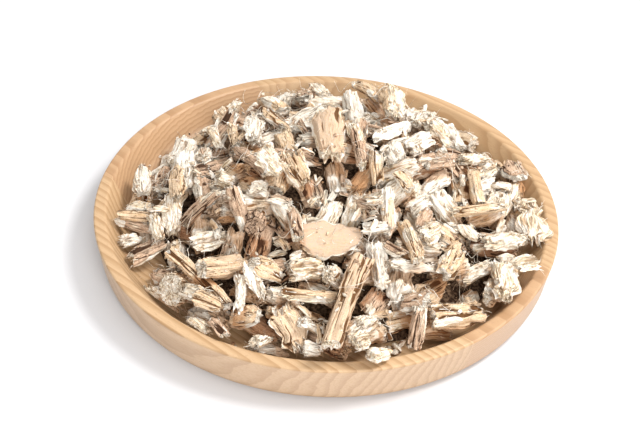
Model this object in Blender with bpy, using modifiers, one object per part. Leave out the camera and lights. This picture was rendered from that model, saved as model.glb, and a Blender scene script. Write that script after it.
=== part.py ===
"""Dish of chopped marshmallow root.

A shallow turned wooden dish holds a heap of dried root that was chopped into sticks, slabs, shards
and cross slices. The dish stands on z = 0 with its middle on the z axis; +Y points to the back.

The heap is built as it is poured. A low core keeps the middle solid, a first layer of chips is
let down on it and sinks a little into what lies below, and all of these are joined to one body.
The chips that show on top are separate pieces. Each is let down until it is just clear of what
lies under it, at the tilt, out of a few, that brings it lowest.
"""
import math
from dataclasses import dataclass

import bmesh
import bpy
import numpy as np
from mathutils import Matrix, Vector

MM = 0.001

DISH_RADIUS = 90.0 * MM
DISH_HEIGHT = 17.0 * MM
LIP_WIDTH = 4.7 * MM
LIP_EASE = 0.9 * MM
FLOOR_TOP = 6.0 * MM
FLOOR_RADIUS = 78.0 * MM
FLOOR_FILLET = 4.5 * MM
FOOT_RADIUS = 84.0 * MM
FOOT_ROUND = 4.0 * MM
WALL_TAPER = 1.5 * MM
DISH_STEPS = 64

HEAP_CENTRE = (3.0 * MM, 2.0 * MM)
HEAP_PEAK = (1.0 * MM, 12.0 * MM)
CORE_RADIUS = 70.0 * MM
CORE_TOP = 37.0 * MM
CORE_EDGE = 2.0 * MM
CORE_POWER = 1.15
CORE_SEGMENTS = 28
CORE_RINGS = 16

LAYER_RADIUS = 76.0 * MM
LAYER_CHIPS = 132
LAYER_SINK = 1.6 * MM
LAYER_SIDES = 6
LAYER_SPANS = 2
LAYER_TRIALS = 5
LAYER_SEED = 63
LAYER_LENGTHS = (12.0 * MM, 21.0 * MM)
LAYER_WIDTHS = (6.5 * MM, 10.0 * MM)
LAYER_SCATTER = 1.2 * MM
EDGE_SHARE = 0.86
EDGE_SWING = 0.35

LOOSE_GAP = 0.3 * MM
LOOSE_SIDES = 8
LOOSE_SPANS = 3
LOOSE_TRIALS = 26
LOOSE_SEED = 21
LONG_STICK = 26.0 * MM
LONG_SIDES = 14
LONG_SPANS = 5
BACK_CHIPS = 9
BACK_FROM = math.radians(35.0)
BACK_SWEEP = math.radians(115.0)
BACK_REACHES = (46.0 * MM, 68.0 * MM, 57.0 * MM)
BACK_LENGTHS = (14.0 * MM, 22.0 * MM)
BACK_WIDTHS = (6.0 * MM, 9.0 * MM)
BACK_THICKNESSES = (4.0 * MM, 6.0 * MM)
BACK_KINDS = (("stick", "root_tan"), ("shard", "root_pale"), ("slab", "root_bark"))

SHARP_ANGLE = math.radians(38.0)

CELL = 0.5 * MM
FIELD_HALF = 100.0 * MM
SAMPLES_PER_EDGE = 14
CORE_SAMPLES_PER_EDGE = 40
SLOPE_SAMPLES_PER_EDGE = 4
LEAN_SPREAD = math.radians(11.0)
LEAN_MOST = math.radians(20.0)
CALMING = 0.7
STEEPEST = 0.7
SHIFT_SPREAD = 1.0 * MM
GOLDEN_ANGLE = math.pi * (3.0 - math.sqrt(5.0))

FINISHES = {
    "dish_wood": ((0.80, 0.58, 0.37), 0.45),
    "heap_mix": ((0.62, 0.48, 0.35), 0.85),
    "root_pale": ((0.83, 0.75, 0.62), 0.80),
    "root_tan": ((0.52, 0.35, 0.21), 0.85),
    "root_bark": ((0.25, 0.16, 0.10), 0.90),
}

# How each kind of chip is shaped: the power of its section (2 is round, more is boxy), how far the
# section arches across, how far the chip bows along, how much its far end narrows, how lumpy it is,
# how many furrows run along its bark and how deep, and how slanting its cut ends are.
KINDS = {
    "stick": dict(power=2.4, arch=0.0, bow=0.035, taper=0.12, lump=0.09, furrows=5, groove=0.07, slant=0.14),
    "slab": dict(power=3.2, arch=0.32, bow=0.05, taper=0.16, lump=0.10, furrows=0, groove=0.0, slant=0.20),
    "shard": dict(power=2.8, arch=0.10, bow=0.06, taper=0.30, lump=0.15, furrows=0, groove=0.0, slant=0.24),
    "slice": dict(power=2.0, arch=0.0, bow=0.0, taper=0.06, lump=0.06, furrows=0, groove=0.0, slant=0.05),
}

# The chips on top that can be told apart: name, kind, finish, then length, width and thickness in
# millimetres, the place of the middle, and the bearing in degrees from +X. Later ones lie on
# earlier ones.
TOP_CHIPS = [
    ("shard_front_edge", "shard", "root_pale", 13, 4, 3, -19, -75, 14),
    ("shard_left_edge", "shard", "root_pale", 15.5, 3.5, 3, -62, -53.5, -32),
    ("slab_left_wall", "slab", "root_pale", 15, 7, 5, -69, 6.5, -81),
    ("slab_right_wall", "slab", "root_pale", 22, 11, 4, 78.5, -8, -91),
    ("slab_back_wall", "slab", "root_bark", 14, 9, 4, 75, 22, -80),
    ("slab_curved_front", "slab", "root_tan", 18, 10, 4, -11.5, -71.5, -61),
    ("slab_low_front", "slab", "root_tan", 11.5, 7, 4, -22.5, -66.5, -9),
    ("shard_low_front", "shard", "root_pale", 15, 8, 5, 14, -70.5, 49),
    ("slice_left", "slice", "root_pale", 5, 12.5, 12.5, -50, -48, 84),
    ("slab_bark_left", "slab", "root_bark", 16, 7, 3.5, -68.5, -28.5, 40),
    ("stick_left_edge", "stick", "root_bark", 18.5, 4, 4, -73.5, -14.5, -24),
    ("knot_right", "stick", "root_tan", 19.5, 10, 7, 47.5, -60.5, 18),
    ("slab_lower_right", "slab", "root_bark", 10, 8.5, 4, 33.5, -59.5, -19),
    ("stick_lower_right", "stick", "root_bark", 14.5, 5.5, 5, 35.5, -69, -107),
    ("slab_right", "slab", "root_pale", 20.5, 8.5, 3.5, 63.5, -46.5, -95),
    ("shard_right", "shard", "root_pale", 15, 6.5, 4, 66, -24, 15),
    ("shard_block_left", "shard", "root_pale", 11.5, 9, 6, -40.5, -33, 21),
    ("stick_slanting_left", "stick", "root_tan", 33.5, 5, 5, -43.5, -54, -46),
    ("shard_slanting_front", "shard", "root_pale", 16, 4.5, 4, -35, -62.5, -88),
    ("stick_level_left", "stick", "root_tan", 18.5, 7.5, 7, -35, -54.5, 45),
    ("strip_front", "slab", "root_tan", 20.5, 5, 3.5, -5, -60, 6),
    ("shard_front", "shard", "root_pale", 14, 5.5, 4, -23.5, -54.5, -54),
    ("shard_bowl", "shard", "root_pale", 12, 8.5, 5, -5, -47, 13),
    ("slab_wide_middle", "slab", "root_tan", 22, 14, 4, 2.5, -36.5, 4),
    ("shard_fibrous", "shard", "root_pale", 17.5, 6.5, 5, 20, -41.5, -74),
    ("stick_long_front", "stick", "root_tan", 42.5, 7.5, 6.5, 9, -68.5, -105),
    ("stick_right_a", "stick", "root_tan", 17, 7, 6, 44.5, -38, -113),
    ("shard_thin_right", "shard", "root_pale", 17.5, 3.5, 3, 30.5, -42.5, 10),
    ("stick_striped_right", "stick", "root_tan", 18.5, 6, 5.5, 30, -35.5, -70),
    ("shard_left_white", "shard", "root_pale", 16, 6.5, 5, -58.5, -16, -81),
    ("stick_brown_left", "stick", "root_bark", 20.5, 4.5, 4.5, -41.5, -23, 19),
    ("stick_furrowed_left", "stick", "root_bark", 16.5, 5.5, 5.5, -38, -24.5, -68),
    ("slice_dark", "slice", "root_bark", 6, 8.5, 8, -34, -32, 170),
    ("stick_middle_right", "stick", "root_tan", 22, 4, 4, 55, -12.5, 12),
    ("stick_upright_right", "stick", "root_tan", 17, 5, 5, 54.5, 0, -80),
    ("shard_long_right", "shard", "root_pale", 18, 4.5, 3.5, 57, 24, 38),
    ("stick_dark_right", "stick", "root_bark", 12, 4.5, 4.5, 39, 5.5, 28),
    ("shard_upper_right", "shard", "root_pale", 12, 9, 5, 40, 28, 10),
    ("slab_middle", "slab", "root_bark", 16, 4.5, 3.5, -9.5, -31, -74),
    ("slab_comb", "slab", "root_tan", 14.5, 9, 6, -13, -8.5, -59),
    ("stick_purple_brown", "stick", "root_bark", 20.5, 5.5, 5.5, -27, -7, -53),
    ("shard_upper_left", "shard", "root_pale", 18.5, 6.5, 5.5, -29.5, 17.5, -88),
    ("slice_upper_left", "slice", "root_pale", 4, 9, 9, -42, 42, 90),
    ("stick_crest_white", "stick", "root_pale", 15.5, 4.5, 4.5, 22.5, -28, -84),
    ("slab_crest", "slab", "root_tan", 25.5, 11.5, 5, 1.5, 7.5, -86),
    ("stick_crest_grey", "stick", "root_bark", 23, 5, 5, 10, 0.5, -79),
    ("shard_crest_flat", "shard", "root_pale", 25.5, 4, 3, 21, 18, 47),
    ("shard_crest_block", "shard", "root_tan", 18.5, 9, 7, 23.5, 36, -81),
]
# How far a few chips stand tipped towards the front, in degrees.
TIPPED = {"slice_left": 51, "slice_dark": 34}


@dataclass
class Chip:
    """One chip: its kind, its size and the seeded swings that make it unlike the next one."""

    kind: str
    length: float
    width: float
    thickness: float
    swing: np.ndarray


def chip_surface(chip, along, angle):
    """Points of a chip's surface in its own frame: x along it, y across it, z up.

    along runs from -1 to 1 and angle goes once round. The section is a superellipse, made lumpy by
    two slow waves, grooved on its upper side by the furrows, and narrowed towards one end. It is
    then arched across, bowed along and slanted at its cut ends. A slice stands with its axis up.
    """
    kind = KINDS[chip.kind]
    s = chip.swing
    cosine = np.cos(angle)
    sine = np.sin(angle)
    power = 2.0 / kind["power"]
    waves = np.sin(2.0 * angle + 6.3 * s[0] + 1.9 * along)
    waves = waves + 0.7 * np.sin(3.0 * angle + 6.3 * s[1] - 2.3 * along)
    grooves = np.cos(kind["furrows"] * angle + 6.3 * s[2] + 0.8 * along) if kind["furrows"] else 0.0 * angle
    size = 1.0 + kind["lump"] * waves + kind["groove"] * grooves * (0.6 + 0.4 * sine)
    size = size * (1.0 - kind["taper"] * (0.4 + 0.9 * s[3]) * 0.5 * (1.0 + along))
    size = size * (1.0 - 0.06 * along ** 2)
    across = 0.5 * chip.width * size * np.sign(cosine) * np.abs(cosine) ** power
    up = 0.5 * chip.thickness * size * np.sign(sine) * np.abs(sine) ** power
    up = up + kind["arch"] * (s[4] + 0.35) * chip.width * (0.25 - (across / chip.width) ** 2)
    bend = 1.0 - along ** 2
    up = up + kind["bow"] * (2.0 * s[5] - 0.7) * chip.length * bend
    across = across + kind["bow"] * (2.0 * s[6] - 1.0) * chip.length * bend
    slant = kind["slant"] * (0.4 + s[7]) * np.sin(angle + 6.3 * s[8])
    lengthwise = 0.5 * chip.length * along + 0.5 * chip.width * along * slant
    if chip.kind == "slice":
        return np.stack([-up, across, lengthwise], axis=-1)
    return np.stack([lengthwise, across, up], axis=-1)


def chip_shell(chip, sides, spans):
    """A chip as corners and triangles: a cylinder cut into spans, each corner moved to the surface."""
    bm = bmesh.new()
    bmesh.ops.create_cone(bm, cap_ends=True, segments=sides, radius1=1.0, radius2=1.0, depth=2.0)
    for cut in range(1, spans):
        level = 2.0 * cut / spans - 1.0
        everything = bm.verts[:] + bm.edges[:] + bm.faces[:]
        bmesh.ops.bisect_plane(bm, geom=everything, plane_co=(0, 0, level), plane_no=(0, 0, 1))
    corners = np.array([vert.co for vert in bm.verts])
    angle = np.arctan2(corners[:, 1], corners[:, 0])
    moved = chip_surface(chip, corners[:, 2], angle)
    for vert, place in zip(bm.verts, moved):
        vert.co = place
    bmesh.ops.triangulate(bm, faces=bm.faces[:])
    bm.verts.index_update()
    triangles = np.array([[vert.index for vert in face.verts] for face in bm.faces])
    corners = np.array([vert.co for vert in bm.verts])
    bm.free()
    return corners, triangles


def surface_samples(corners, triangles, per_edge=SAMPLES_PER_EDGE):
    """Evenly spread points on every triangle, close enough together to leave no cell out."""
    steps = np.arange(per_edge + 1) / per_edge
    first, second = np.meshgrid(steps, steps)
    inside = first + second <= 1.0 + 1e-9
    first, second = first[inside][None, :, None], second[inside][None, :, None]
    a, b, c = (corners[triangles[:, k]][:, None, :] for k in range(3))
    return (a + (b - a) * first + (c - a) * second).reshape(-1, 3)


def quadratic_bend(start, corner, end, count):
    """Points of a smooth bend that leaves start towards corner and reaches end."""
    points = []
    for k in range(count + 1):
        t = k / count
        weights = ((1 - t) ** 2, 2 * t * (1 - t), t * t)
        blend = [sum(w * p[i] for w, p in zip(weights, (start, corner, end))) for i in range(2)]
        points.append(tuple(blend))
    return points


def dish_profile():
    """Half section of the dish from the middle of its floor, over the lip, to the middle of its foot."""
    lip_inner = DISH_RADIUS - LIP_WIDTH
    rise = (DISH_HEIGHT - FLOOR_TOP) / (lip_inner - FLOOR_RADIUS)
    run = FLOOR_FILLET / math.hypot(1.0, rise)
    wall_low = (FLOOR_RADIUS + run, FLOOR_TOP + run * rise)
    ease = LIP_EASE
    wall_high = (lip_inner - ease / rise, DISH_HEIGHT - ease)
    foot_high = (DISH_RADIUS - WALL_TAPER, FOOT_ROUND)
    outline = [(0.0, FLOOR_TOP)]
    floor_end = (FLOOR_RADIUS - FLOOR_FILLET, FLOOR_TOP)
    outline += quadratic_bend(floor_end, (FLOOR_RADIUS, FLOOR_TOP), wall_low, 4)
    outline += quadratic_bend(wall_high, (lip_inner, DISH_HEIGHT), (lip_inner + ease, DISH_HEIGHT), 2)
    outline += quadratic_bend(
        (DISH_RADIUS - ease, DISH_HEIGHT), (DISH_RADIUS, DISH_HEIGHT), (DISH_RADIUS, DISH_HEIGHT - ease), 2)
    outline += quadratic_bend(foot_high, (DISH_RADIUS - 1.5 * WALL_TAPER, 0.0), (FOOT_RADIUS, 0.0), 3)
    outline.append((0.0, 0.0))
    return outline


def dish_height(radius):
    """Height of the dish's upper side at a distance from its middle."""
    outline = dish_profile()
    lip_end = outline.index((DISH_RADIUS - LIP_EASE, DISH_HEIGHT))
    upper = outline[:lip_end + 1]
    return np.interp(radius, [point[0] for point in upper], [point[1] for point in upper])


class Field:
    """Heights of what already lies in the dish, kept on a square grid of small cells."""

    def __init__(self):
        self.count = int(round(2.0 * FIELD_HALF / CELL))
        self.top = np.full((self.count, self.count), -1.0)

    def cells(self, points):
        index = ((points[:, :2] + FIELD_HALF) / CELL).astype(int)
        return np.clip(index, 1, self.count - 2)

    def lay(self, points):
        """Raise the cells under the points to the points' heights."""
        index = self.cells(points)
        np.maximum.at(self.top, (index[:, 0], index[:, 1]), points[:, 2])

    def wide(self):
        """Heights where each cell also has its eight neighbours' heights, for sideways room."""
        rows = np.maximum(self.top, np.maximum(np.roll(self.top, 1, 0), np.roll(self.top, -1, 0)))
        return np.maximum(rows, np.maximum(np.roll(rows, 1, 1), np.roll(rows, -1, 1)))

    def ground(self, points, heights):
        """Height of whatever is under each point, heap or dish."""
        index = self.cells(points)
        dish = dish_height(np.hypot(points[:, 0], points[:, 1]))
        return np.maximum(heights[index[:, 0], index[:, 1]], dish)

    def lift(self, points, heights, heap_gap, dish_gap):
        """How far to raise the points so that they keep both gaps to what is under them."""
        index = self.cells(points)
        over_heap = heights[index[:, 0], index[:, 1]] + heap_gap - points[:, 2]
        over_dish = dish_height(np.hypot(points[:, 0], points[:, 1])) + dish_gap - points[:, 2]
        return max(over_heap.max(), over_dish.max())


def slope_turn(field, points, heights):
    """Turn that lays a level chip along the slope under it, from a plane through the heights there."""
    ground = field.ground(points, heights)
    middle = points.mean(axis=0)
    grid = np.column_stack([points[:, 0] - middle[0], points[:, 1] - middle[1], np.ones(len(points))])
    tilt = np.linalg.lstsq(grid, ground, rcond=None)[0][:2]
    tilt = tilt * min(1.0, STEEPEST / max(np.hypot(*tilt), 1e-9))
    normal = Vector((-tilt[0], -tilt[1], 1.0)).normalized()
    return np.array(Vector((0, 0, 1)).rotation_difference(normal).to_matrix())


def settle(field, shell, place, bearing, rng, trials, heap_gap, pitch=0.0):
    """Let a chip down at a place and return its corners where it comes to rest.

    It starts along the slope, tipped towards the front by its pitch. Each trial leans and shifts the
    best rest so far a little, less and less, and a rest that brings the chip lower is kept. A
    negative gap lets it sink into the heap.
    """
    corners, triangles = shell
    heights = field.wide() if heap_gap > 0 else field.top
    turn = np.array(Matrix.Rotation(pitch, 3, "X") @ Matrix.Rotation(bearing, 3, "Z"))
    level = corners @ turn.T + np.array([place[0], place[1], 0.0])
    slope = slope_turn(field, surface_samples(level, triangles, SLOPE_SAMPLES_PER_EDGE), heights)
    best = None
    lean = np.zeros(2)
    middle = np.array([place[0], place[1], 0.0])
    for trial in range(trials):
        spread = 1.0 - CALMING * trial / trials
        new_lean = np.clip(lean + rng.normal(0.0, LEAN_SPREAD * spread, 2), -LEAN_MOST, LEAN_MOST)
        new_middle = middle + np.array([*rng.normal(0.0, SHIFT_SPREAD * spread, 2), 0.0])
        tip = np.array(Matrix.Rotation(new_lean[0], 3, "Y") @ Matrix.Rotation(new_lean[1], 3, "X"))
        leaning = corners @ (slope @ turn @ tip).T + new_middle
        samples = surface_samples(leaning, triangles)
        rise = field.lift(samples, heights, heap_gap, LOOSE_GAP)
        height = samples[:, 2].mean() + rise
        if best is None or height < best[0]:
            best = (height, leaning + np.array([0.0, 0.0, rise]))
            lean, middle = new_lean, new_middle
    field.lay(surface_samples(best[1], triangles))
    return best[1]


def core_shell():
    """The core of the heap: a sphere's upper half moved to a low dome, its lower half to a flat base."""
    bm = bmesh.new()
    bmesh.ops.create_uvsphere(bm, u_segments=CORE_SEGMENTS, v_segments=CORE_RINGS, radius=1.0)
    base = FLOOR_TOP + LOOSE_GAP
    for vert in bm.verts:
        angle = math.atan2(vert.co.y, vert.co.x)
        out = math.acos(max(-1.0, min(1.0, abs(vert.co.z)))) / (0.5 * math.pi)
        turned = (math.cos(angle), math.sin(angle))
        rim = [middle + CORE_RADIUS * share for middle, share in zip(HEAP_CENTRE, turned)]
        x, y = ((1.0 - out) * peak + out * edge for peak, edge in zip(HEAP_PEAK, rim))
        z = base
        if vert.co.z > 1e-6:
            z += CORE_EDGE * (1.0 - out ** 12) + (CORE_TOP - base - CORE_EDGE) * (1.0 - out ** CORE_POWER)
        vert.co = (x, y, z)
    bmesh.ops.triangulate(bm, faces=bm.faces[:])
    bm.verts.index_update()
    triangles = np.array([[vert.index for vert in face.verts] for face in bm.faces])
    corners = np.array([vert.co for vert in bm.verts])
    bm.free()
    return corners, triangles


def layer_chips():
    """The chips of the first layer with their places, the outermost first."""
    rng = np.random.default_rng(LAYER_SEED)
    chips = []
    for k in range(LAYER_CHIPS - 1, -1, -1):
        reach = LAYER_RADIUS * math.sqrt((k + 0.5) / LAYER_CHIPS)
        angle = k * GOLDEN_ANGLE
        place = (
            HEAP_CENTRE[0] + reach * math.cos(angle) + rng.normal(0, LAYER_SCATTER),
            HEAP_CENTRE[1] + reach * math.sin(angle) + rng.normal(0, LAYER_SCATTER),
        )
        kind = rng.choice(["stick", "slab", "shard"], p=[0.35, 0.30, 0.35])
        length = rng.uniform(*LAYER_LENGTHS)
        width = rng.uniform(*LAYER_WIDTHS)
        flatness = {"stick": 0.9, "slab": 0.5, "shard": 0.7}[kind]
        chip = Chip(kind, length, width, width * flatness, rng.random(9))
        bearing = rng.uniform(-math.pi, math.pi)
        if reach > EDGE_SHARE * LAYER_RADIUS:
            bearing = angle + 0.5 * math.pi + rng.normal(0.0, EDGE_SWING)
        chips.append((chip, place, bearing))
    return chips


def loose_chips():
    """The chips on top, first those at the back by a rule, then the ones placed by hand."""
    rng = np.random.default_rng(LOOSE_SEED)
    chips = []
    for k in range(BACK_CHIPS):
        angle = BACK_FROM + BACK_SWEEP * (k + 0.5 + rng.uniform(-0.4, 0.4)) / BACK_CHIPS
        reach = BACK_REACHES[k % len(BACK_REACHES)]
        kind, finish = BACK_KINDS[k % len(BACK_KINDS)]
        size = [rng.uniform(*bounds) for bounds in (BACK_LENGTHS, BACK_WIDTHS, BACK_THICKNESSES)]
        place = (HEAP_CENTRE[0] + reach * math.cos(angle), HEAP_CENTRE[1] + reach * math.sin(angle))
        bearing = rng.uniform(-math.pi, math.pi)
        chips.append((f"{kind}_back_{k + 1}", finish, Chip(kind, *size, rng.random(9)), place, bearing, 0.0))
    for name, kind, finish, length, width, thickness, x, y, bearing in TOP_CHIPS:
        chip = Chip(kind, length * MM, width * MM, thickness * MM, rng.random(9))
        pitch = math.radians(TIPPED.get(name, 0.0))
        chips.append((name, finish, chip, (x * MM, y * MM), math.radians(bearing), pitch))
    return chips


def clear_scene():
    for old in list(bpy.data.objects):
        bpy.data.objects.remove(old, do_unlink=True)


def new_collection(name):
    collection = bpy.data.collections.new(name)
    bpy.context.scene.collection.children.link(collection)
    return collection


def finish_material(name):
    """One Principled material for each finish, shared by the pieces that have it."""
    material = bpy.data.materials.get(name)
    if material is None:
        colour, roughness = FINISHES[name]
        material = bpy.data.materials.new(name)
        material.use_nodes = True
        shader = material.node_tree.nodes["Principled BSDF"]
        shader.inputs["Base Color"].default_value = (*colour, 1.0)
        shader.inputs["Roughness"].default_value = roughness
        shader.inputs["Metallic"].default_value = 0.0
    return material


def new_object(name, corners, faces, collection, finish):
    mesh = bpy.data.meshes.new(name)
    mesh.from_pydata([tuple(corner) for corner in corners], [], [tuple(face) for face in faces])
    mesh.materials.append(finish_material(finish))
    mesh.shade_smooth()
    mesh.set_sharp_from_angle(angle=SHARP_ANGLE)
    obj = bpy.data.objects.new(name, mesh)
    collection.objects.link(obj)
    return obj


def make_dish(collection):
    """The dish: its half section turned once round the z axis."""
    outline = dish_profile()
    mesh = bpy.data.meshes.new("dish")
    edges = [(k, k + 1) for k in range(len(outline) - 1)]
    mesh.from_pydata([(radius, 0.0, height) for radius, height in outline], edges, [])
    mesh.materials.append(finish_material("dish_wood"))
    dish = bpy.data.objects.new("dish", mesh)
    collection.objects.link(dish)
    turn = dish.modifiers.new("turned", "SCREW")
    turn.axis = "Z"
    turn.steps = DISH_STEPS
    turn.render_steps = DISH_STEPS
    turn.use_merge_vertices = True
    turn.merge_threshold = 0.00005
    turn.use_smooth_shade = True
    return dish


def largest_body(obj):
    """Keep the largest connected shell: loose scraps go, and hollows that the joining sealed fill up."""
    bm = bmesh.new()
    bm.from_mesh(obj.data)
    bm.verts.ensure_lookup_table()
    waiting = set(bm.verts)
    shells = []
    while waiting:
        shell = [waiting.pop()]
        for vert in shell:
            for edge in vert.link_edges:
                other = edge.other_vert(vert)
                if other in waiting:
                    waiting.discard(other)
                    shell.append(other)
        shells.append(shell)
    shells.sort(key=len)
    for shell in shells[:-1]:
        bmesh.ops.delete(bm, geom=shell, context="VERTS")
    bm.to_mesh(obj.data)
    bm.free()


def make_heap(collection, field):
    """The core and the first layer of chips, let down in turn and joined to one body."""
    core = core_shell()
    heap = new_object("heap", *core, collection, "heap_mix")
    field.lay(surface_samples(*core, CORE_SAMPLES_PER_EDGE))
    joined = new_collection("heap_chips_to_join")
    rng = np.random.default_rng(LAYER_SEED + 1)
    for number, (chip, place, bearing) in enumerate(layer_chips()):
        shell = chip_shell(chip, LAYER_SIDES, LAYER_SPANS)
        corners = settle(field, shell, place, bearing, rng, LAYER_TRIALS, -LAYER_SINK)
        new_object(f"layer_chip_{number}", corners, shell[1], joined, "heap_mix")
    union = heap.modifiers.new("joined", "BOOLEAN")
    union.operation = "UNION"
    union.operand_type = "COLLECTION"
    union.collection = joined
    union.solver = "MANIFOLD"
    evaluated = heap.evaluated_get(bpy.context.evaluated_depsgraph_get())
    heap.data = bpy.data.meshes.new_from_object(evaluated)
    heap.data.name = "heap"
    heap.modifiers.clear()
    for chip in list(joined.objects):
        bpy.data.objects.remove(chip, do_unlink=True)
    bpy.data.collections.remove(joined)
    largest_body(heap)
    return heap


def make_loose_chips(collection, field):
    """The separate chips on top, each let down on those before it."""
    rng = np.random.default_rng(LOOSE_SEED + 1)
    for name, finish, chip, place, bearing, pitch in loose_chips():
        long_stick = chip.length > LONG_STICK and chip.kind == "stick"
        sides, spans = (LONG_SIDES, LONG_SPANS) if long_stick else (LOOSE_SIDES, LOOSE_SPANS)
        if chip.kind == "slice":
            sides, spans = LONG_SIDES, 1
        shell = chip_shell(chip, sides, spans)
        corners = settle(field, shell, place, bearing, rng, LOOSE_TRIALS, LOOSE_GAP, pitch)
        new_object(name, corners, shell[1], collection, finish)


def main():
    clear_scene()
    collection = new_collection("dish_of_chopped_marshmallow_root")
    field = Field()
    make_dish(collection)
    make_heap(collection, field)
    make_loose_chips(collection, field)
    for obj in collection.objects:
        corners = [obj.matrix_world @ vert.co for vert in obj.data.vertices]
        print(obj.name, len(obj.data.polygons), "highest", round(max(c.z for c in corners) / MM, 1), "mm")


main()
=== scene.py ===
# %% [markdown]
# # A dish of chopped marshmallow root
#
# The real thing is a shallow round dish, turned from three glued boards of pale wood, with a heap
# of dried root in it. The root was chopped by machine: there are lengths of thin root with furrowed
# bark, slabs of bark with white flesh on one side, split shards of pure flesh and a few cross slices.
# Everything is dry, so it splinters: ends are frayed, loose fibres lie about, and crumbs fill gaps.
#
# The solids of the part already say where each chip lies. This script dresses them: every solid is
# replaced by a finer surface of the same form, and small stuff is added that solids can't carry.

import math
from dataclasses import dataclass

import bmesh
import bpy
import numpy as np
from mathutils import Euler, Matrix, Vector


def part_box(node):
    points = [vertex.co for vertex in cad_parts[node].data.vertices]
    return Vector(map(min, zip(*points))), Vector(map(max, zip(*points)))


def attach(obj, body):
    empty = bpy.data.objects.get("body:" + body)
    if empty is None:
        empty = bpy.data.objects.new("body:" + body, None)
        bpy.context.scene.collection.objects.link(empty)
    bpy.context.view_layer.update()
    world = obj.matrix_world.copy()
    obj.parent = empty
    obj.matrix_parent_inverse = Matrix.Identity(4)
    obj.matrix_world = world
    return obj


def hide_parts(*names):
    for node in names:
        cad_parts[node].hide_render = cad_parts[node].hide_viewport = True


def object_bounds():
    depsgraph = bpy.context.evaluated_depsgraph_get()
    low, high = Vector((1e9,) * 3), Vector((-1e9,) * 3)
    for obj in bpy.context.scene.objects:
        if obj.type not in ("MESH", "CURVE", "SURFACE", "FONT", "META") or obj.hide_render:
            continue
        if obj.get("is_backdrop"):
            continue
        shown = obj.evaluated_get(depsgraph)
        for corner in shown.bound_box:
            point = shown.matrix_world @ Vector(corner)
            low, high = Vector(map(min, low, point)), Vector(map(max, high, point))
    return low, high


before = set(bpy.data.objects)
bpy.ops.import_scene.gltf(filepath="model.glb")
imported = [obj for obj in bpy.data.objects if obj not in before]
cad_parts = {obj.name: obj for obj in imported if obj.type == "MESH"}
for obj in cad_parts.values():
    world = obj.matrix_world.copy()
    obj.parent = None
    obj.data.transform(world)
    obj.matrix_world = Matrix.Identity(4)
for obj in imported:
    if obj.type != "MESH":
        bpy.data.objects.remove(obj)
cad_low, cad_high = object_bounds()
MM = 0.001
print("solids:", len(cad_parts), "box in mm:", [round(side / MM, 1) for side in cad_high - cad_low])

# %% [markdown]
# ## The camera
#
# A picture of a round dish gives its camera away: how far the ellipse is squashed says how steeply
# the camera looks down, and how much wider the front half is says how near it stands. The values
# below were fitted to the dish's rim. A camera looks along its own -Z with +Y up, so it is tipped up
# from the floor by 90 degrees less its drop, and then turned to its heading.

# %% Set the camera
CAMERA_PLACE = (0.0, -350.2 * MM, 298.9 * MM)
CAMERA_DROP = math.radians(39.49)
CAMERA_HEADING = math.radians(0.41)
CAMERA_ROLL = math.radians(2.69)
IMAGE_WIDTH = 640.0
FOCAL_LENGTH_IN_PIXELS = 1150.0

camera_data = bpy.data.cameras.new("camera")
camera_data.sensor_fit = "HORIZONTAL"
camera_data.sensor_width = 36.0
camera_data.lens = FOCAL_LENGTH_IN_PIXELS * camera_data.sensor_width / IMAGE_WIDTH
camera_data.clip_start = 0.01
camera = bpy.data.objects.new("camera", camera_data)
bpy.context.scene.collection.objects.link(camera)
aim = Matrix.Rotation(CAMERA_HEADING, 4, "Z") @ Matrix.Rotation(0.5 * math.pi - CAMERA_DROP, 4, "X")
camera.matrix_world = Matrix.Translation(CAMERA_PLACE) @ aim @ Matrix.Rotation(CAMERA_ROLL, 4, "Z")
bpy.context.scene.camera = camera
print("lens in mm:", round(camera_data.lens, 1))

# %% [markdown]
# ## Light and floor
#
# The object stands in a bright, even studio: the floor is nearly white and the only shadow is a
# soft grey one to the left. A key lamp high on the right makes that shadow and the bright tops of the
# chips, a large lamp in front lights the faces that look at the camera, and two weaker lamps and a
# dim white world fill the rest. The larger a lamp is, the softer its shadow's edge.

# %% Set the light and the floor
WORLD_LIGHT = 0.70
# For each lamp: its place, how far it is across, both in metres, and its power in watts.
LAMPS = [
    ("key", (0.50, 0.08, 0.80), 0.32, 7.9),
    ("side", (0.78, 0.20, 0.55), 0.45, 0.5),
    ("top", (0.0, 0.1, 1.0), 1.0, 2.2),
    ("front", (0.22, -0.84, 0.52), 0.5, 7.1),
]
FLOOR_REACH = 3.0
FLOOR_DROP = 0.1 * MM
FLOOR_COLOUR = (0.65, 0.645, 0.655, 1.0)
FLOOR_ROUGHNESS = 0.9

scene = bpy.context.scene
scene.view_settings.view_transform = "Standard"
world = bpy.data.worlds.new("studio")
world.use_nodes = True
backdrop = world.node_tree.nodes["Background"]
backdrop.inputs["Color"].default_value = (1.0, 1.0, 1.0, 1.0)
backdrop.inputs["Strength"].default_value = WORLD_LIGHT
scene.world = world
for lamp_name, place, size, power in LAMPS:
    lamp = bpy.data.lights.new(lamp_name, "AREA")
    lamp.shape = "DISK"
    lamp.size = size
    lamp.energy = power
    lamp_object = bpy.data.objects.new(lamp_name, lamp)
    lamp_object.location = place
    lamp_object.rotation_euler = (-Vector(place)).to_track_quat("-Z", "Y").to_euler()
    scene.collection.objects.link(lamp_object)

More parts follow.
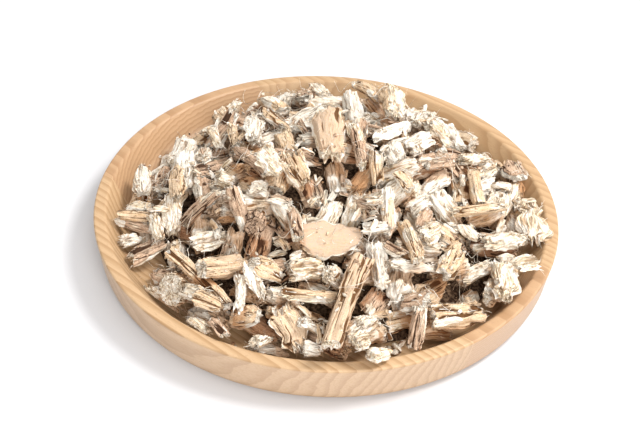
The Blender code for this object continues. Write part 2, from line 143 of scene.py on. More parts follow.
floor_mesh = bpy.data.meshes.new("floor")
floor_signs = [(-1, -1), (1, -1), (1, 1), (-1, 1)]
floor_corners = [(FLOOR_REACH * x, FLOOR_REACH * y, -FLOOR_DROP) for x, y in floor_signs]
floor_mesh.from_pydata(floor_corners, [], [(0, 1, 2, 3)])
floor_material = bpy.data.materials.new("floor_white")
floor_material.use_nodes = True
floor_shader = floor_material.node_tree.nodes["Principled BSDF"]
floor_shader.inputs["Base Color"].default_value = FLOOR_COLOUR
floor_shader.inputs["Roughness"].default_value = FLOOR_ROUGHNESS
floor_mesh.materials.append(floor_material)
floor = bpy.data.objects.new("floor", floor_mesh)
scene.collection.objects.link(floor)
floor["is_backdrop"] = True
print("lamps:", [name for name, *rest in LAMPS])

# %% [markdown]
# ## Tools for surfaces
#
# Every piece is a grid of points: one direction runs along the piece and the other once round it.
# The first and last rows shrink to a single point, a pole, so the grid closes to a sealed skin.
# The same face pattern then serves a dish, a chip and a hair, and many skins can be joined into one
# mesh by shifting the numbers of their points.

# %% Build meshes from grids


def closed_faces(rows, columns):
    """Quads and triangles of a skin whose points are one pole, rows x columns points, one pole.

    Quad (r, c) joins rows r and r + 1 and columns c and c + 1, where the column after the last is
    the first again. A fan of triangles joins each pole to the row next to it.
    """
    row = np.arange(rows - 1)[:, None]
    here = np.arange(columns)[None, :]
    after = (here + 1) % columns
    low = 1 + row * columns
    high = low + columns
    quads = np.stack([low + here, low + after, high + after, high + here], axis=-1).reshape(-1, 4)
    here, after = here[0], after[0]
    last = 1 + (rows - 1) * columns
    first_fan = np.stack([np.zeros(columns, int), 1 + after, 1 + here], axis=-1)
    last_fan = np.stack([np.full(columns, last + columns), last + here, last + after], axis=-1)
    return quads, np.concatenate([first_fan, last_fan])


def grid_points(grid):
    """Points of a skin from a grid whose first and last rows are poles."""
    return np.concatenate([grid[:1, 0], grid[1:-1].reshape(-1, grid.shape[-1]), grid[-1:, 0]])


class Skins:
    """Several closed skins that are joined into one mesh, with values kept at their points."""

    def __init__(self):
        self.points, self.quads, self.triangles, self.values = [], [], [], {}
        self.count = 0

    def add(self, points, quads, triangles, **values):
        """Add one skin, with its faces' numbers shifted past the points already there."""
        self.points.append(points)
        self.quads.append(quads + self.count)
        self.triangles.append(triangles + self.count)
        for name, value in values.items():
            self.values.setdefault(name, []).append(value)
        self.count += len(points)

    def add_many(self, points, quads, triangles, **values):
        """Add N skins of one face pattern: points has the shape (N, points in a skin, 3)."""
        shift = (np.arange(len(points)) * points.shape[1])[:, None, None]
        flat = {name: value.reshape(-1, *value.shape[2:]) for name, value in values.items()}
        many_quads = (quads[None] + shift).reshape(-1, 4)
        many_triangles = (triangles[None] + shift).reshape(-1, 3)
        self.add(points.reshape(-1, 3), many_quads, many_triangles, **flat)

    def piece(self, name, material, sharp=math.radians(42.0)):
        """Make the object: fill the mesh's arrays, shade it smooth and keep hard edges hard."""
        points = np.concatenate(self.points)
        quads, triangles = np.concatenate(self.quads), np.concatenate(self.triangles)
        mesh = bpy.data.meshes.new(name)
        mesh.vertices.add(len(points))
        mesh.vertices.foreach_set("co", points.astype(np.float32).ravel())
        corners = np.concatenate([quads.ravel(), triangles.ravel()])
        mesh.loops.add(len(corners))
        mesh.loops.foreach_set("vertex_index", corners.astype(np.int32))
        quad_starts, triangle_starts = 4 * np.arange(len(quads)), 3 * np.arange(len(triangles))
        starts = np.concatenate([quad_starts, 4 * len(quads) + triangle_starts])
        mesh.polygons.add(len(starts))
        mesh.polygons.foreach_set("loop_start", starts.astype(np.int32))
        for value_name, parts in self.values.items():
            value = np.concatenate(parts).astype(np.float32)
            kind, field = ("FLOAT", "value") if value.ndim == 1 else ("FLOAT_VECTOR", "vector")
            mesh.attributes.new(value_name, kind, "POINT").data.foreach_set(field, value.ravel())
        mesh.update(calc_edges=True)
        mesh.validate()
        mesh.shade_smooth()
        mesh.set_sharp_from_angle(angle=sharp)
        mesh.materials.append(material)
        obj = bpy.data.objects.new(name, mesh)
        scene.collection.objects.link(obj)
        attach(obj, "root")
        total_triangles.append(2 * len(quads) + len(triangles))
        return obj


total_triangles = []
quads, triangles = closed_faces(3, 4)
print("a skin of 3 rows and 4 columns has", len(quads), "quads and", len(triangles), "triangles")

# %% [markdown]
# Broken, dry stuff has no straight line in it, so most shapes below are shaken by noise. Smooth
# noise is a cube of random numbers, one at each corner of a grid of cells; between the corners they
# are blended. Points that are first squeezed along the grain give streaks instead of blobs.

# %% Make smooth noise
NOISE_SIZE = 32
NOISE_SEED = 5
NOISE = np.random.default_rng(NOISE_SEED).uniform(-1.0, 1.0, (NOISE_SIZE,) * 3)


def noise(points, stretch=(1.0, 1.0, 1.0)):
    """Smooth noise from -1 to 1: the eight random numbers round a point, weighted by nearness."""
    place = points * np.array(stretch)
    cell = np.floor(place).astype(int)
    part = place - cell
    part = part * part * (3.0 - 2.0 * part)
    total = np.zeros(points.shape[:-1])
    for corner in np.ndindex(2, 2, 2):
        weight = np.prod(np.where(corner, part, 1.0 - part), axis=-1)
        index = (cell + corner) % NOISE_SIZE
        total += weight * NOISE[index[..., 0], index[..., 1], index[..., 2]]
    return total


def smoothstep(low, high, value):
    """0 below low, 1 above high, and an S-shaped rise between them."""
    part = np.clip((value - low) / (high - low), 0.0, 1.0)
    return part * part * (3.0 - 2.0 * part)


print("noise at one point:", round(float(noise(np.array([0.3, 1.7, 2.2]))), 3))

# %% [markdown]
# ## Tools for finishes
#
# A finish is a small formula that gives each point of a surface its colour. In Blender the formula
# is a tree of nodes, which is hard to read as code. So a socket is wrapped in a class whose + - * /
# add the Math nodes, and the formula reads like one.

# %% Wrap sockets so that formulas build nodes


class Wire:
    """A socket that carries a value. Arithmetic on it adds Math nodes to its tree."""

    def __init__(self, finish, socket):
        self.finish = finish
        self.socket = socket

    def maths(self, operation, *others):
        """The result of a Math node whose first value is this one."""
        sockets = dict(enumerate([self, *others]))
        return self.finish.node("ShaderNodeMath", {"operation": operation}, sockets)

    def __add__(self, other):
        return self.maths("ADD", other)

    def __mul__(self, other):
        return self.maths("MULTIPLY", other)

    def __sub__(self, other):
        return self.maths("SUBTRACT", other)

    def __rsub__(self, other):
        return self.finish.node("ShaderNodeMath", {"operation": "SUBTRACT"}, {0: other, 1: self})

    def __truediv__(self, other):
        return self.maths("DIVIDE", other)

    __radd__ = __add__
    __rmul__ = __mul__

    def step(self, low, high):
        """A soft step: 0 below low and 1 above high."""
        settings = {"interpolation_type": "SMOOTHSTEP"}
        sockets = {"Value": self, "From Min": low, "From Max": high}
        return self.finish.node("ShaderNodeMapRange", settings, sockets)

    def scaled(self, *scale):
        """A vector whose parts are multiplied by three numbers."""
        return self.finish.node("ShaderNodeVectorMath", {"operation": "MULTIPLY"}, {0: self, 1: scale})

    def dot(self, *direction):
        """How far a vector reaches along a direction."""
        settings = {"operation": "DOT_PRODUCT"}
        return self.finish.node("ShaderNodeVectorMath", settings, {0: self, 1: direction}, "Value")


class Finish:
    """A material and its Principled shader, and what is needed to write a formula for it."""

    def __init__(self, name, **uniform):
        self.material = bpy.data.materials.new(name)
        self.material.use_nodes = True
        self.tree = self.material.node_tree
        self.shader = self.tree.nodes["Principled BSDF"]
        for socket, value in uniform.items():
            self.shader.inputs[socket.replace("_", " ")].default_value = value

    def node(self, kind, settings, sockets, output=0):
        """Add a node: its settings first, then a value or a link for each named socket."""
        node = self.tree.nodes.new(kind)
        for name, value in settings.items():
            setattr(node, name, value)
        for name, value in sockets.items():
            self.put(node.inputs[name], value)
        return Wire(self, node.outputs[output])

    def put(self, socket, value):
        """Link a wire to a socket, or set a plain value; a colour gets its fourth number."""
        if isinstance(value, Wire):
            self.tree.links.new(value.socket, socket)
        else:
            socket.default_value = (*value, 1.0) if socket.type == "RGBA" and len(value) == 3 else value

    def attribute(self, name, output="Fac"):
        """A value that the mesh keeps at its points."""
        return self.node("ShaderNodeAttribute", {"attribute_name": name}, {}, output)

    def object_place(self):
        """The place of a point in metres, as a vector."""
        return self.node("ShaderNodeTexCoord", {}, {}, "Object")

    def noise(self, vector, scale, detail=2.0, roughness=0.5):
        """Smooth noise round 0.5, with a size of about 1 / scale and finer noise added to it."""
        sockets = {"Vector": vector, "Scale": scale, "Detail": detail, "Roughness": roughness}
        return self.node("ShaderNodeTexNoise", {}, sockets)

    def mix(self, share, first, second, blend="MIX"):
        """first where share is 0, second where it is 1."""
        settings = {"data_type": "RGBA", "blend_type": blend}
        return self.node("ShaderNodeMix", settings, {0: share, 6: first, 7: second}, 2)

    def bump(self, height, distance, strength=1.0):
        """A normal that leans as if the surface rose by height times distance."""
        sockets = {"Height": height, "Distance": distance, "Strength": strength}
        return self.node("ShaderNodeBump", {}, sockets)

    def shade(self, **inputs):
        """Give the Principled shader its inputs and return the finished material."""
        for socket, value in inputs.items():
            self.put(self.shader.inputs[socket.replace("_", " ")], value)
        return self.material


print("formulas are ready")

# %% [markdown]
# ## The dish
#
# A turned dish is one half section carried round an axis, so its surface is a profile times a
# circle. The profile has a flat floor, a rounded step up to the wall, an eased lip and a foot that
# is rounded underneath. Each bend is a short quadratic curve: it leaves one point towards a corner
# and arrives at the next.

# %% Set the sizes of the dish
DISH_RADIUS = 90.0 * MM
DISH_HEIGHT = 17.0 * MM
LIP_WIDTH = 4.7 * MM
LIP_EASE = 0.9 * MM
FLOOR_TOP = 6.0 * MM
FLOOR_RADIUS = 78.0 * MM
FLOOR_FILLET = 4.5 * MM
FOOT_RADIUS = 84.0 * MM
FOOT_ROUND = 4.0 * MM
WALL_TAPER = 1.5 * MM
FINE_BENDS = 4
FINE_TURN = 240
FLAT_STEP = 12.0 * MM
print("dish in mm:", round(2.0 * DISH_RADIUS / MM, 1), "across,", round(DISH_HEIGHT / MM, 1), "high")

# %% Turn the dish


def quadratic_bend(start, corner, end, count):
    """Points (1 - t)^2 start + 2 t (1 - t) corner + t^2 end for t from 0 to 1."""
    points = []
    for k in range(count + 1):
        t = k / count
        weights = ((1 - t) ** 2, 2 * t * (1 - t), t * t)
        blend = [sum(w * p[i] for w, p in zip(weights, (start, corner, end))) for i in range(2)]
        points.append(tuple(blend))
    return points


def dish_profile(finer=1):
    """Half section of the dish from the middle of its floor, over the lip, to the middle of its foot."""
    lip_inner = DISH_RADIUS - LIP_WIDTH
    rise = (DISH_HEIGHT - FLOOR_TOP) / (lip_inner - FLOOR_RADIUS)
    run = FLOOR_FILLET / math.hypot(1.0, rise)
    wall_low = (FLOOR_RADIUS + run, FLOOR_TOP + run * rise)
    ease = LIP_EASE
    wall_high = (lip_inner - ease / rise, DISH_HEIGHT - ease)
    foot_high = (DISH_RADIUS - WALL_TAPER, FOOT_ROUND)
    floor_end = (FLOOR_RADIUS - FLOOR_FILLET, FLOOR_TOP)
    lip_out, lip_down = (DISH_RADIUS - ease, DISH_HEIGHT), (DISH_RADIUS, DISH_HEIGHT - ease)
    outline = [(0.0, FLOOR_TOP)]
    outline += quadratic_bend(floor_end, (FLOOR_RADIUS, FLOOR_TOP), wall_low, 4 * finer)
    lip_in = (lip_inner + ease, DISH_HEIGHT)
    foot_corner = (DISH_RADIUS - 1.5 * WALL_TAPER, 0.0)
    outline += quadratic_bend(wall_high, (lip_inner, DISH_HEIGHT), lip_in, 2 * finer)
    outline += quadratic_bend(lip_out, (DISH_RADIUS, DISH_HEIGHT), lip_down, 2 * finer)
    outline += quadratic_bend(foot_high, foot_corner, (FOOT_RADIUS, 0.0), 3 * finer)
    outline.append((0.0, 0.0))
    return outline


def dish_height(radius):
    """Height of the dish's upper side at a distance from its middle."""
    outline = dish_profile()
    lip_end = outline.index((DISH_RADIUS - LIP_EASE, DISH_HEIGHT))
    upper = outline[:lip_end + 1]
    return np.interp(radius, [point[0] for point in upper], [point[1] for point in upper])


def evenly_split(outline, longest):
    """The same outline with points added so that no stretch is longer than this."""
    points = [outline[0]]
    for start, end in zip(outline, outline[1:]):
        count = max(1, math.ceil(math.dist(start, end) / longest))
        points += [tuple(a + (b - a) * k / count for a, b in zip(start, end)) for k in range(1, count + 1)]
    return np.array(points)


def turned_grid(outline, steps):
    """Profile times circle: (radius cos angle, radius sin angle, height)."""
    angle = np.linspace(0.0, 2.0 * math.pi, steps, endpoint=False)
    radius, height = outline[:, :1], outline[:, 1:]
    return np.stack([radius * np.cos(angle), radius * np.sin(angle), height + 0.0 * angle], axis=-1)


dish_outline = evenly_split(dish_profile(FINE_BENDS), FLAT_STEP)
dish_grid = turned_grid(dish_outline, FINE_TURN)
dish_quads, dish_triangles = closed_faces(len(dish_outline) - 2, FINE_TURN)
print("profile points:", len(dish_outline), "quads:", len(dish_quads))

# %% [markdown]
# ## The wood
#
# Three boards were glued side by side and the dish was cut out of them, so the grain runs straight
# through floor, lip and wall, as a solid does and a wrapped picture doesn't. The colour is therefore
# a function of the place in space. A tree's growth rings are tubes round its pith, so their phase is
# the distance to a pith line along the board, shaken a little. Each board came from another spot in
# the tree: its pith lies elsewhere, which turns broad arches in one board into fine straight lines
# in the next. Within a ring the wood darkens slowly and then starts pale again.

# %% Choose the three boards
BOARD_BEARING = math.radians(-37.0)
ALONG = (math.cos(BOARD_BEARING), math.sin(BOARD_BEARING), 0.0)
ACROSS = (-math.sin(BOARD_BEARING), math.cos(BOARD_BEARING), 0.0)
SEAM_FRONT = (math.radians(-30.0), -36.8)
SEAM_BACK = (math.radians(-44.2), 33.4)
SEAM_SOFT = 0.25
# For each board: where its pith lies across the boards and up, in mm, how far apart its rings are,
# and the colours at the start and at the end of a ring.
BOARDS = [
    ((-128.0, 26.0), 3.0, (0.52, 0.345, 0.195), (0.385, 0.23, 0.11)),
    ((40.0, -300.0), 1.5, (0.465, 0.285, 0.155), (0.365, 0.205, 0.10)),
    ((150.0, -60.0), 2.4, (0.49, 0.32, 0.175), (0.40, 0.24, 0.118)),
]
# The outer wall is painted paler and greyer than the lip: painted light that stands in for what the
# floor throws up onto it. Fibres and pores are darker streaks in the grain.
PAINTED_WALL_LIGHT = (0.56, 0.43, 0.335)
PAINTED_WALL_LIGHT_SHARE = 0.42
FIBRE_BROWN = (0.40, 0.25, 0.13)
PORE_BROWN = (0.33, 0.20, 0.11)
print("distances between growth rings, in mm:", [board[1] for board in BOARDS])

# %% Make the wood


def make_wood():
    """Rings round each board's pith, then the seams between boards, painted light on the wall, fibres and
    pores.
    """
    wood = Finish("dish_wood", Roughness=0.46, Specular_IOR_Level=0.4)
    place = wood.object_place().scaled(1000.0, 1000.0, 1000.0)
    along, across = place.dot(*ALONG), place.dot(*ACROSS)
    up = place.dot(0.0, 0.0, 1.0)

    def streaks(share, scale, detail, roughness=0.5):
        """Noise that is stretched along the boards, because only a share of the way along counts."""
        grain = wood.node("ShaderNodeCombineXYZ", {}, {0: along * share, 1: across, 2: up})
        return wood.noise(grain, scale, detail, roughness)

    sway = (streaks(0.04, 0.035, 2.0) - 0.5) * 14.0
    shake = (streaks(0.04, 0.35, 2.0) - 0.5) * 1.4
    colours = []
    for (pith_across, pith_up), spacing, early, late in BOARDS:
        run = across - pith_across + sway
        rise = up - pith_up
        radius = (run * run + rise * rise).maths("SQRT") + shake
        ring = (radius / spacing).maths("FRACT")
        dark = ring.step(0.25, 0.92) - ring.step(0.93, 1.0)
        colours.append(wood.mix(dark, early, late))
    (front_bearing, front_offset), (back_bearing, back_offset) = SEAM_FRONT, SEAM_BACK
    past_front = place.dot(-math.sin(front_bearing), math.cos(front_bearing), 0.0) - front_offset
    past_back = place.dot(-math.sin(back_bearing), math.cos(back_bearing), 0.0) - back_offset
    colour = wood.mix(past_front.step(-SEAM_SOFT, SEAM_SOFT), colours[0], colours[1])
    colour = wood.mix(past_back.step(-SEAM_SOFT, SEAM_SOFT), colour, colours[2])
    flat = place.scaled(1.0, 1.0, 0.0)
    outward = wood.node("ShaderNodeVectorMath", {"operation": "LENGTH"}, {0: flat}, "Value")
    # Painted light: the outer wall is mixed towards a paler, greyer colour, as if lit from the floor.
    painted_wall_light = outward.step(87.6, 88.8) * (1.0 - up.step(15.8, 16.6)) * PAINTED_WALL_LIGHT_SHARE
    colour = wood.mix(painted_wall_light, colour, PAINTED_WALL_LIGHT)
    fibres = streaks(0.06, 1.7, 4.0, 0.65)
    colour = wood.mix(fibres.step(0.40, 0.70) * 0.34, colour, FIBRE_BROWN)
    pores = streaks(0.22, 3.1, 1.0)
    colour = wood.mix(pores.step(0.60, 0.72) * 0.34, colour, PORE_BROWN)
    marks = (outward * 2.2).maths("SINE") * 0.03
    height = fibres * 0.5 + pores * -0.4 + marks
    return wood.shade(
        Base_Color=colour,
        Roughness=fibres * 0.22 + 0.36,
        Normal=wood.bump(height, 0.12 * MM, 0.6),
    )


dish_wood = make_wood()
print("nodes in the wood:", len(dish_wood.node_tree.nodes))

# %% Dress the dish
DISH_SHARP = math.radians(30.0)
dish_skin = Skins()
dish_skin.add(grid_points(dish_grid), dish_quads, dish_triangles)
dish = dish_skin.piece("turned_dish", dish_wood, sharp=DISH_SHARP)
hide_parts("dish")
print("triangles in the dish:", sum(total_triangles))

# %% [markdown]
# ## The chips as solids
#
# Where does each chip lie? The solids were made by a rule: a heap is poured, so each chip is let
# down on those before it and tries a few leans until it lies low. The rule is seeded, so running it
# again here gives each chip's place and turn once more, and the field of heights that it leaves
# tells later steps where the gaps are. The sizes, kinds and seeds below repeat those of the solids.

# %% Repeat the sizes of the heap
HEAP_CENTRE = (3.0 * MM, 2.0 * MM)
HEAP_PEAK = (1.0 * MM, 12.0 * MM)
CORE_RADIUS = 70.0 * MM
CORE_TOP = 37.0 * MM
CORE_EDGE = 2.0 * MM
CORE_POWER = 1.15
CORE_SEGMENTS = 28
CORE_RINGS = 16

LAYER_RADIUS = 76.0 * MM
LAYER_CHIPS = 132
LAYER_SINK = 1.6 * MM
LAYER_SIDES = 6
LAYER_SPANS = 2
LAYER_TRIALS = 5
LAYER_SEED = 63
LAYER_LENGTHS = (12.0 * MM, 21.0 * MM)
LAYER_WIDTHS = (6.5 * MM, 10.0 * MM)
LAYER_SCATTER = 1.2 * MM
EDGE_SHARE = 0.86
EDGE_SWING = 0.35

LOOSE_GAP = 0.3 * MM
LOOSE_SIDES = 8
LOOSE_SPANS = 3
LOOSE_TRIALS = 26
LOOSE_SEED = 21
LONG_STICK = 26.0 * MM
LONG_SIDES = 14
LONG_SPANS = 5
BACK_CHIPS = 9
BACK_FROM = math.radians(35.0)
BACK_SWEEP = math.radians(115.0)
BACK_REACHES = (46.0 * MM, 68.0 * MM, 57.0 * MM)
BACK_LENGTHS = (14.0 * MM, 22.0 * MM)
BACK_WIDTHS = (6.0 * MM, 9.0 * MM)
BACK_THICKNESSES = (4.0 * MM, 6.0 * MM)
BACK_KINDS = (("stick", "root_tan"), ("shard", "root_pale"), ("slab", "root_bark"))

CELL = 0.5 * MM
FIELD_HALF = 100.0 * MM
SAMPLES_PER_EDGE = 14
CORE_SAMPLES_PER_EDGE = 40
SLOPE_SAMPLES_PER_EDGE = 4
LEAN_SPREAD = math.radians(11.0)
LEAN_MOST = math.radians(20.0)
CALMING = 0.7
STEEPEST = 0.7
SHIFT_SPREAD = 1.0 * MM
GOLDEN_ANGLE = math.pi * (3.0 - math.sqrt(5.0))
print("chips in the first layer:", LAYER_CHIPS)

# %% Repeat the shapes of the kinds
# How each kind of chip is shaped: the power of its section (2 is round, more is boxy), how far the
# section arches across, how far the chip bows along, how much its far end narrows, how lumpy it is,
# how many furrows run along its bark and how deep, and how slanting its cut ends are.
KINDS = {
    "stick": dict(power=2.4, arch=0.0, bow=0.035, taper=0.12, lump=0.09, furrows=5, groove=0.07, slant=0.14),
    "slab": dict(power=3.2, arch=0.32, bow=0.05, taper=0.16, lump=0.10, furrows=0, groove=0.0, slant=0.20),
    "shard": dict(power=2.8, arch=0.10, bow=0.06, taper=0.30, lump=0.15, furrows=0, groove=0.0, slant=0.24),
    "slice": dict(power=2.0, arch=0.0, bow=0.0, taper=0.06, lump=0.06, furrows=0, groove=0.0, slant=0.05),
}
print("kinds of chips:", sorted(KINDS))

# %% Place the chips that can be told apart
# Name, kind, finish, then length, width and thickness in millimetres, the place of the middle, and
# the bearing in degrees from +X. Later ones lie on earlier ones.
TOP_CHIPS = [
    ("shard_front_edge", "shard", "root_pale", 13, 4, 3, -19, -75, 14),
    ("shard_left_edge", "shard", "root_pale", 15.5, 3.5, 3, -62, -53.5, -32),
    ("slab_left_wall", "slab", "root_pale", 15, 7, 5, -69, 6.5, -81),
    ("slab_right_wall", "slab", "root_pale", 22, 11, 4, 78.5, -8, -91),
    ("slab_back_wall", "slab", "root_bark", 14, 9, 4, 75, 22, -80),
    ("slab_curved_front", "slab", "root_tan", 18, 10, 4, -11.5, -71.5, -61),
    ("slab_low_front", "slab", "root_tan", 11.5, 7, 4, -22.5, -66.5, -9),
    ("shard_low_front", "shard", "root_pale", 15, 8, 5, 14, -70.5, 49),
    ("slice_left", "slice", "root_pale", 5, 12.5, 12.5, -50, -48, 84),
    ("slab_bark_left", "slab", "root_bark", 16, 7, 3.5, -68.5, -28.5, 40),
    ("stick_left_edge", "stick", "root_bark", 18.5, 4, 4, -73.5, -14.5, -24),
    ("knot_right", "stick", "root_tan", 19.5, 10, 7, 47.5, -60.5, 18),
    ("slab_lower_right", "slab", "root_bark", 10, 8.5, 4, 33.5, -59.5, -19),
    ("stick_lower_right", "stick", "root_bark", 14.5, 5.5, 5, 35.5, -69, -107),
    ("slab_right", "slab", "root_pale", 20.5, 8.5, 3.5, 63.5, -46.5, -95),
    ("shard_right", "shard", "root_pale", 15, 6.5, 4, 66, -24, 15),
    ("shard_block_left", "shard", "root_pale", 11.5, 9, 6, -40.5, -33, 21),
    ("stick_slanting_left", "stick", "root_tan", 33.5, 5, 5, -43.5, -54, -46),
    ("shard_slanting_front", "shard", "root_pale", 16, 4.5, 4, -35, -62.5, -88),
    ("stick_level_left", "stick", "root_tan", 18.5, 7.5, 7, -35, -54.5, 45),
    ("strip_front", "slab", "root_tan", 20.5, 5, 3.5, -5, -60, 6),
    ("shard_front", "shard", "root_pale", 14, 5.5, 4, -23.5, -54.5, -54),
    ("shard_bowl", "shard", "root_pale", 12, 8.5, 5, -5, -47, 13),
    ("slab_wide_middle", "slab", "root_tan", 22, 14, 4, 2.5, -36.5, 4),
    ("shard_fibrous", "shard", "root_pale", 17.5, 6.5, 5, 20, -41.5, -74),
    ("stick_long_front", "stick", "root_tan", 42.5, 7.5, 6.5, 9, -68.5, -105),
    ("stick_right_a", "stick", "root_tan", 17, 7, 6, 44.5, -38, -113),
    ("shard_thin_right", "shard", "root_pale", 17.5, 3.5, 3, 30.5, -42.5, 10),
    ("stick_striped_right", "stick", "root_tan", 18.5, 6, 5.5, 30, -35.5, -70),
    ("shard_left_white", "shard", "root_pale", 16, 6.5, 5, -58.5, -16, -81),
    ("stick_brown_left", "stick", "root_bark", 20.5, 4.5, 4.5, -41.5, -23, 19),
    ("stick_furrowed_left", "stick", "root_bark", 16.5, 5.5, 5.5, -38, -24.5, -68),
    ("slice_dark", "slice", "root_bark", 6, 8.5, 8, -34, -32, 170),
    ("stick_middle_right", "stick", "root_tan", 22, 4, 4, 55, -12.5, 12),
    ("stick_upright_right", "stick", "root_tan", 17, 5, 5, 54.5, 0, -80),
    ("shard_long_right", "shard", "root_pale", 18, 4.5, 3.5, 57, 24, 38),
    ("stick_dark_right", "stick", "root_bark", 12, 4.5, 4.5, 39, 5.5, 28),
    ("shard_upper_right", "shard", "root_pale", 12, 9, 5, 40, 28, 10),
    ("slab_middle", "slab", "root_bark", 16, 4.5, 3.5, -9.5, -31, -74),
    ("slab_comb", "slab", "root_tan", 14.5, 9, 6, -13, -8.5, -59),
    ("stick_purple_brown", "stick", "root_bark", 20.5, 5.5, 5.5, -27, -7, -53),
    ("shard_upper_left", "shard", "root_pale", 18.5, 6.5, 5.5, -29.5, 17.5, -88),
    ("slice_upper_left", "slice", "root_pale", 4, 9, 9, -42, 42, 90),
    ("stick_crest_white", "stick", "root_pale", 15.5, 4.5, 4.5, 22.5, -28, -84),
    ("slab_crest", "slab", "root_tan", 25.5, 11.5, 5, 1.5, 7.5, -86),
    ("stick_crest_grey", "stick", "root_bark", 23, 5, 5, 10, 0.5, -79),
    ("shard_crest_flat", "shard", "root_pale", 25.5, 4, 3, 21, 18, 47),
    ("shard_crest_block", "shard", "root_tan", 18.5, 9, 7, 23.5, 36, -81),
]
# How far a few chips stand tipped towards the front, in degrees.
TIPPED = {"slice_left": 51, "slice_dark": 34}
print("chips placed by hand:", len(TOP_CHIPS))

# %% [markdown]
# A chip's surface is a function of two numbers: how far along it a point lies, and the angle round
# it. Each chip has nine random swings of its own, so that no two are alike.

# %% Describe a chip


@dataclass
class Chip:
    """One chip: its kind, its size and the seeded swings that make it unlike the next one."""

    kind: str
    length: float
    width: float
    thickness: float
    swing: np.ndarray


def chip_surface(chip, along, angle):
    """Points of a chip's surface in its own frame: x along it, y across it, z up.

    along runs from -1 to 1 and angle goes once round. The section is a superellipse, made lumpy by
    two slow waves, grooved on its upper side by the furrows, and narrowed towards one end. It is
    then arched across, bowed along and slanted at its cut ends. A slice stands with its axis up.
    """
    kind = KINDS[chip.kind]
    s = chip.swing
    cosine = np.cos(angle)
    sine = np.sin(angle)
    power = 2.0 / kind["power"]
    waves = np.sin(2.0 * angle + 6.3 * s[0] + 1.9 * along)
    waves = waves + 0.7 * np.sin(3.0 * angle + 6.3 * s[1] - 2.3 * along)
    grooves = np.cos(kind["furrows"] * angle + 6.3 * s[2] + 0.8 * along) if kind["furrows"] else 0.0 * angle
    size = 1.0 + kind["lump"] * waves + kind["groove"] * grooves * (0.6 + 0.4 * sine)
    size = size * (1.0 - kind["taper"] * (0.4 + 0.9 * s[3]) * 0.5 * (1.0 + along))
    size = size * (1.0 - 0.06 * along ** 2)
    across = 0.5 * chip.width * size * np.sign(cosine) * np.abs(cosine) ** power
    up = 0.5 * chip.thickness * size * np.sign(sine) * np.abs(sine) ** power
    up = up + kind["arch"] * (s[4] + 0.35) * chip.width * (0.25 - (across / chip.width) ** 2)
    bend = 1.0 - along ** 2
    up = up + kind["bow"] * (2.0 * s[5] - 0.7) * chip.length * bend
    across = across + kind["bow"] * (2.0 * s[6] - 1.0) * chip.length * bend
    slant = kind["slant"] * (0.4 + s[7]) * np.sin(angle + 6.3 * s[8])
    lengthwise = 0.5 * chip.length * along + 0.5 * chip.width * along * slant
    if chip.kind == "slice":
        return np.stack([-up, across, lengthwise], axis=-1)
    return np.stack([lengthwise, across, up], axis=-1)


trial_chip = Chip("stick", 20.0 * MM, 6.0 * MM, 6.0 * MM, np.full(9, 0.5))
trial_top = chip_surface(trial_chip, 0.0, 0.5 * math.pi)
print("highest point half way along a stick, in mm:", np.round(trial_top / MM, 2))

# %% Cut the solids again


def chip_shell(chip, sides, spans):
    """A chip as corners and triangles: a cylinder cut into spans, each corner moved to the surface."""
    bm = bmesh.new()
    bmesh.ops.create_cone(bm, cap_ends=True, segments=sides, radius1=1.0, radius2=1.0, depth=2.0)
    for cut in range(1, spans):
        level = 2.0 * cut / spans - 1.0
        everything = bm.verts[:] + bm.edges[:] + bm.faces[:]
        bmesh.ops.bisect_plane(bm, geom=everything, plane_co=(0, 0, level), plane_no=(0, 0, 1))
    corners = np.array([vert.co for vert in bm.verts])
    angle = np.arctan2(corners[:, 1], corners[:, 0])
    moved = chip_surface(chip, corners[:, 2], angle)
    for vert, place in zip(bm.verts, moved):
        vert.co = place
    return shell_arrays(bm)


def shell_arrays(bm):
    """Corners and triangles of an edit mesh, which is freed."""
    bmesh.ops.triangulate(bm, faces=bm.faces[:])
    bm.verts.index_update()
    triangles = np.array([[vert.index for vert in face.verts] for face in bm.faces])
    corners = np.array([vert.co for vert in bm.verts])
    bm.free()
    return corners, triangles


def surface_samples(corners, triangles, per_edge=SAMPLES_PER_EDGE):
    """Evenly spread points on every triangle, close enough together to leave no cell out."""
    steps = np.arange(per_edge + 1) / per_edge
    first, second = np.meshgrid(steps, steps)
    inside = first + second <= 1.0 + 1e-9
    first, second = first[inside][None, :, None], second[inside][None, :, None]
    a, b, c = (corners[triangles[:, k]][:, None, :] for k in range(3))
    return (a + (b - a) * first + (c - a) * second).reshape(-1, 3)


def core_shell():
    """The core of the heap: a sphere's upper half moved to a low dome, its lower half to a flat base."""
    bm = bmesh.new()
    bmesh.ops.create_uvsphere(bm, u_segments=CORE_SEGMENTS, v_segments=CORE_RINGS, radius=1.0)
    base = FLOOR_TOP + LOOSE_GAP
    for vert in bm.verts:
        angle = math.atan2(vert.co.y, vert.co.x)
        out = math.acos(max(-1.0, min(1.0, abs(vert.co.z)))) / (0.5 * math.pi)
        turned = (math.cos(angle), math.sin(angle))
        rim = [middle + CORE_RADIUS * share for middle, share in zip(HEAP_CENTRE, turned)]
        x, y = ((1.0 - out) * peak + out * edge for peak, edge in zip(HEAP_PEAK, rim))
        z = base
        if vert.co.z > 1e-6:
            z += CORE_EDGE * (1.0 - out ** 12) + (CORE_TOP - base - CORE_EDGE) * (1.0 - out ** CORE_POWER)
        vert.co = (x, y, z)
    return shell_arrays(bm)


print("a loose chip has", len(chip_shell(trial_chip, LOOSE_SIDES, LOOSE_SPANS)[1]), "faces")

# %% [markdown]
# The pouring needs to know what already lies where. A square grid of cells keeps the greatest
# height met in each cell. To let a chip down, its points are compared with the cells under them, and
# the chip is lifted by the largest shortfall.

# %% Let chips down on a field of heights


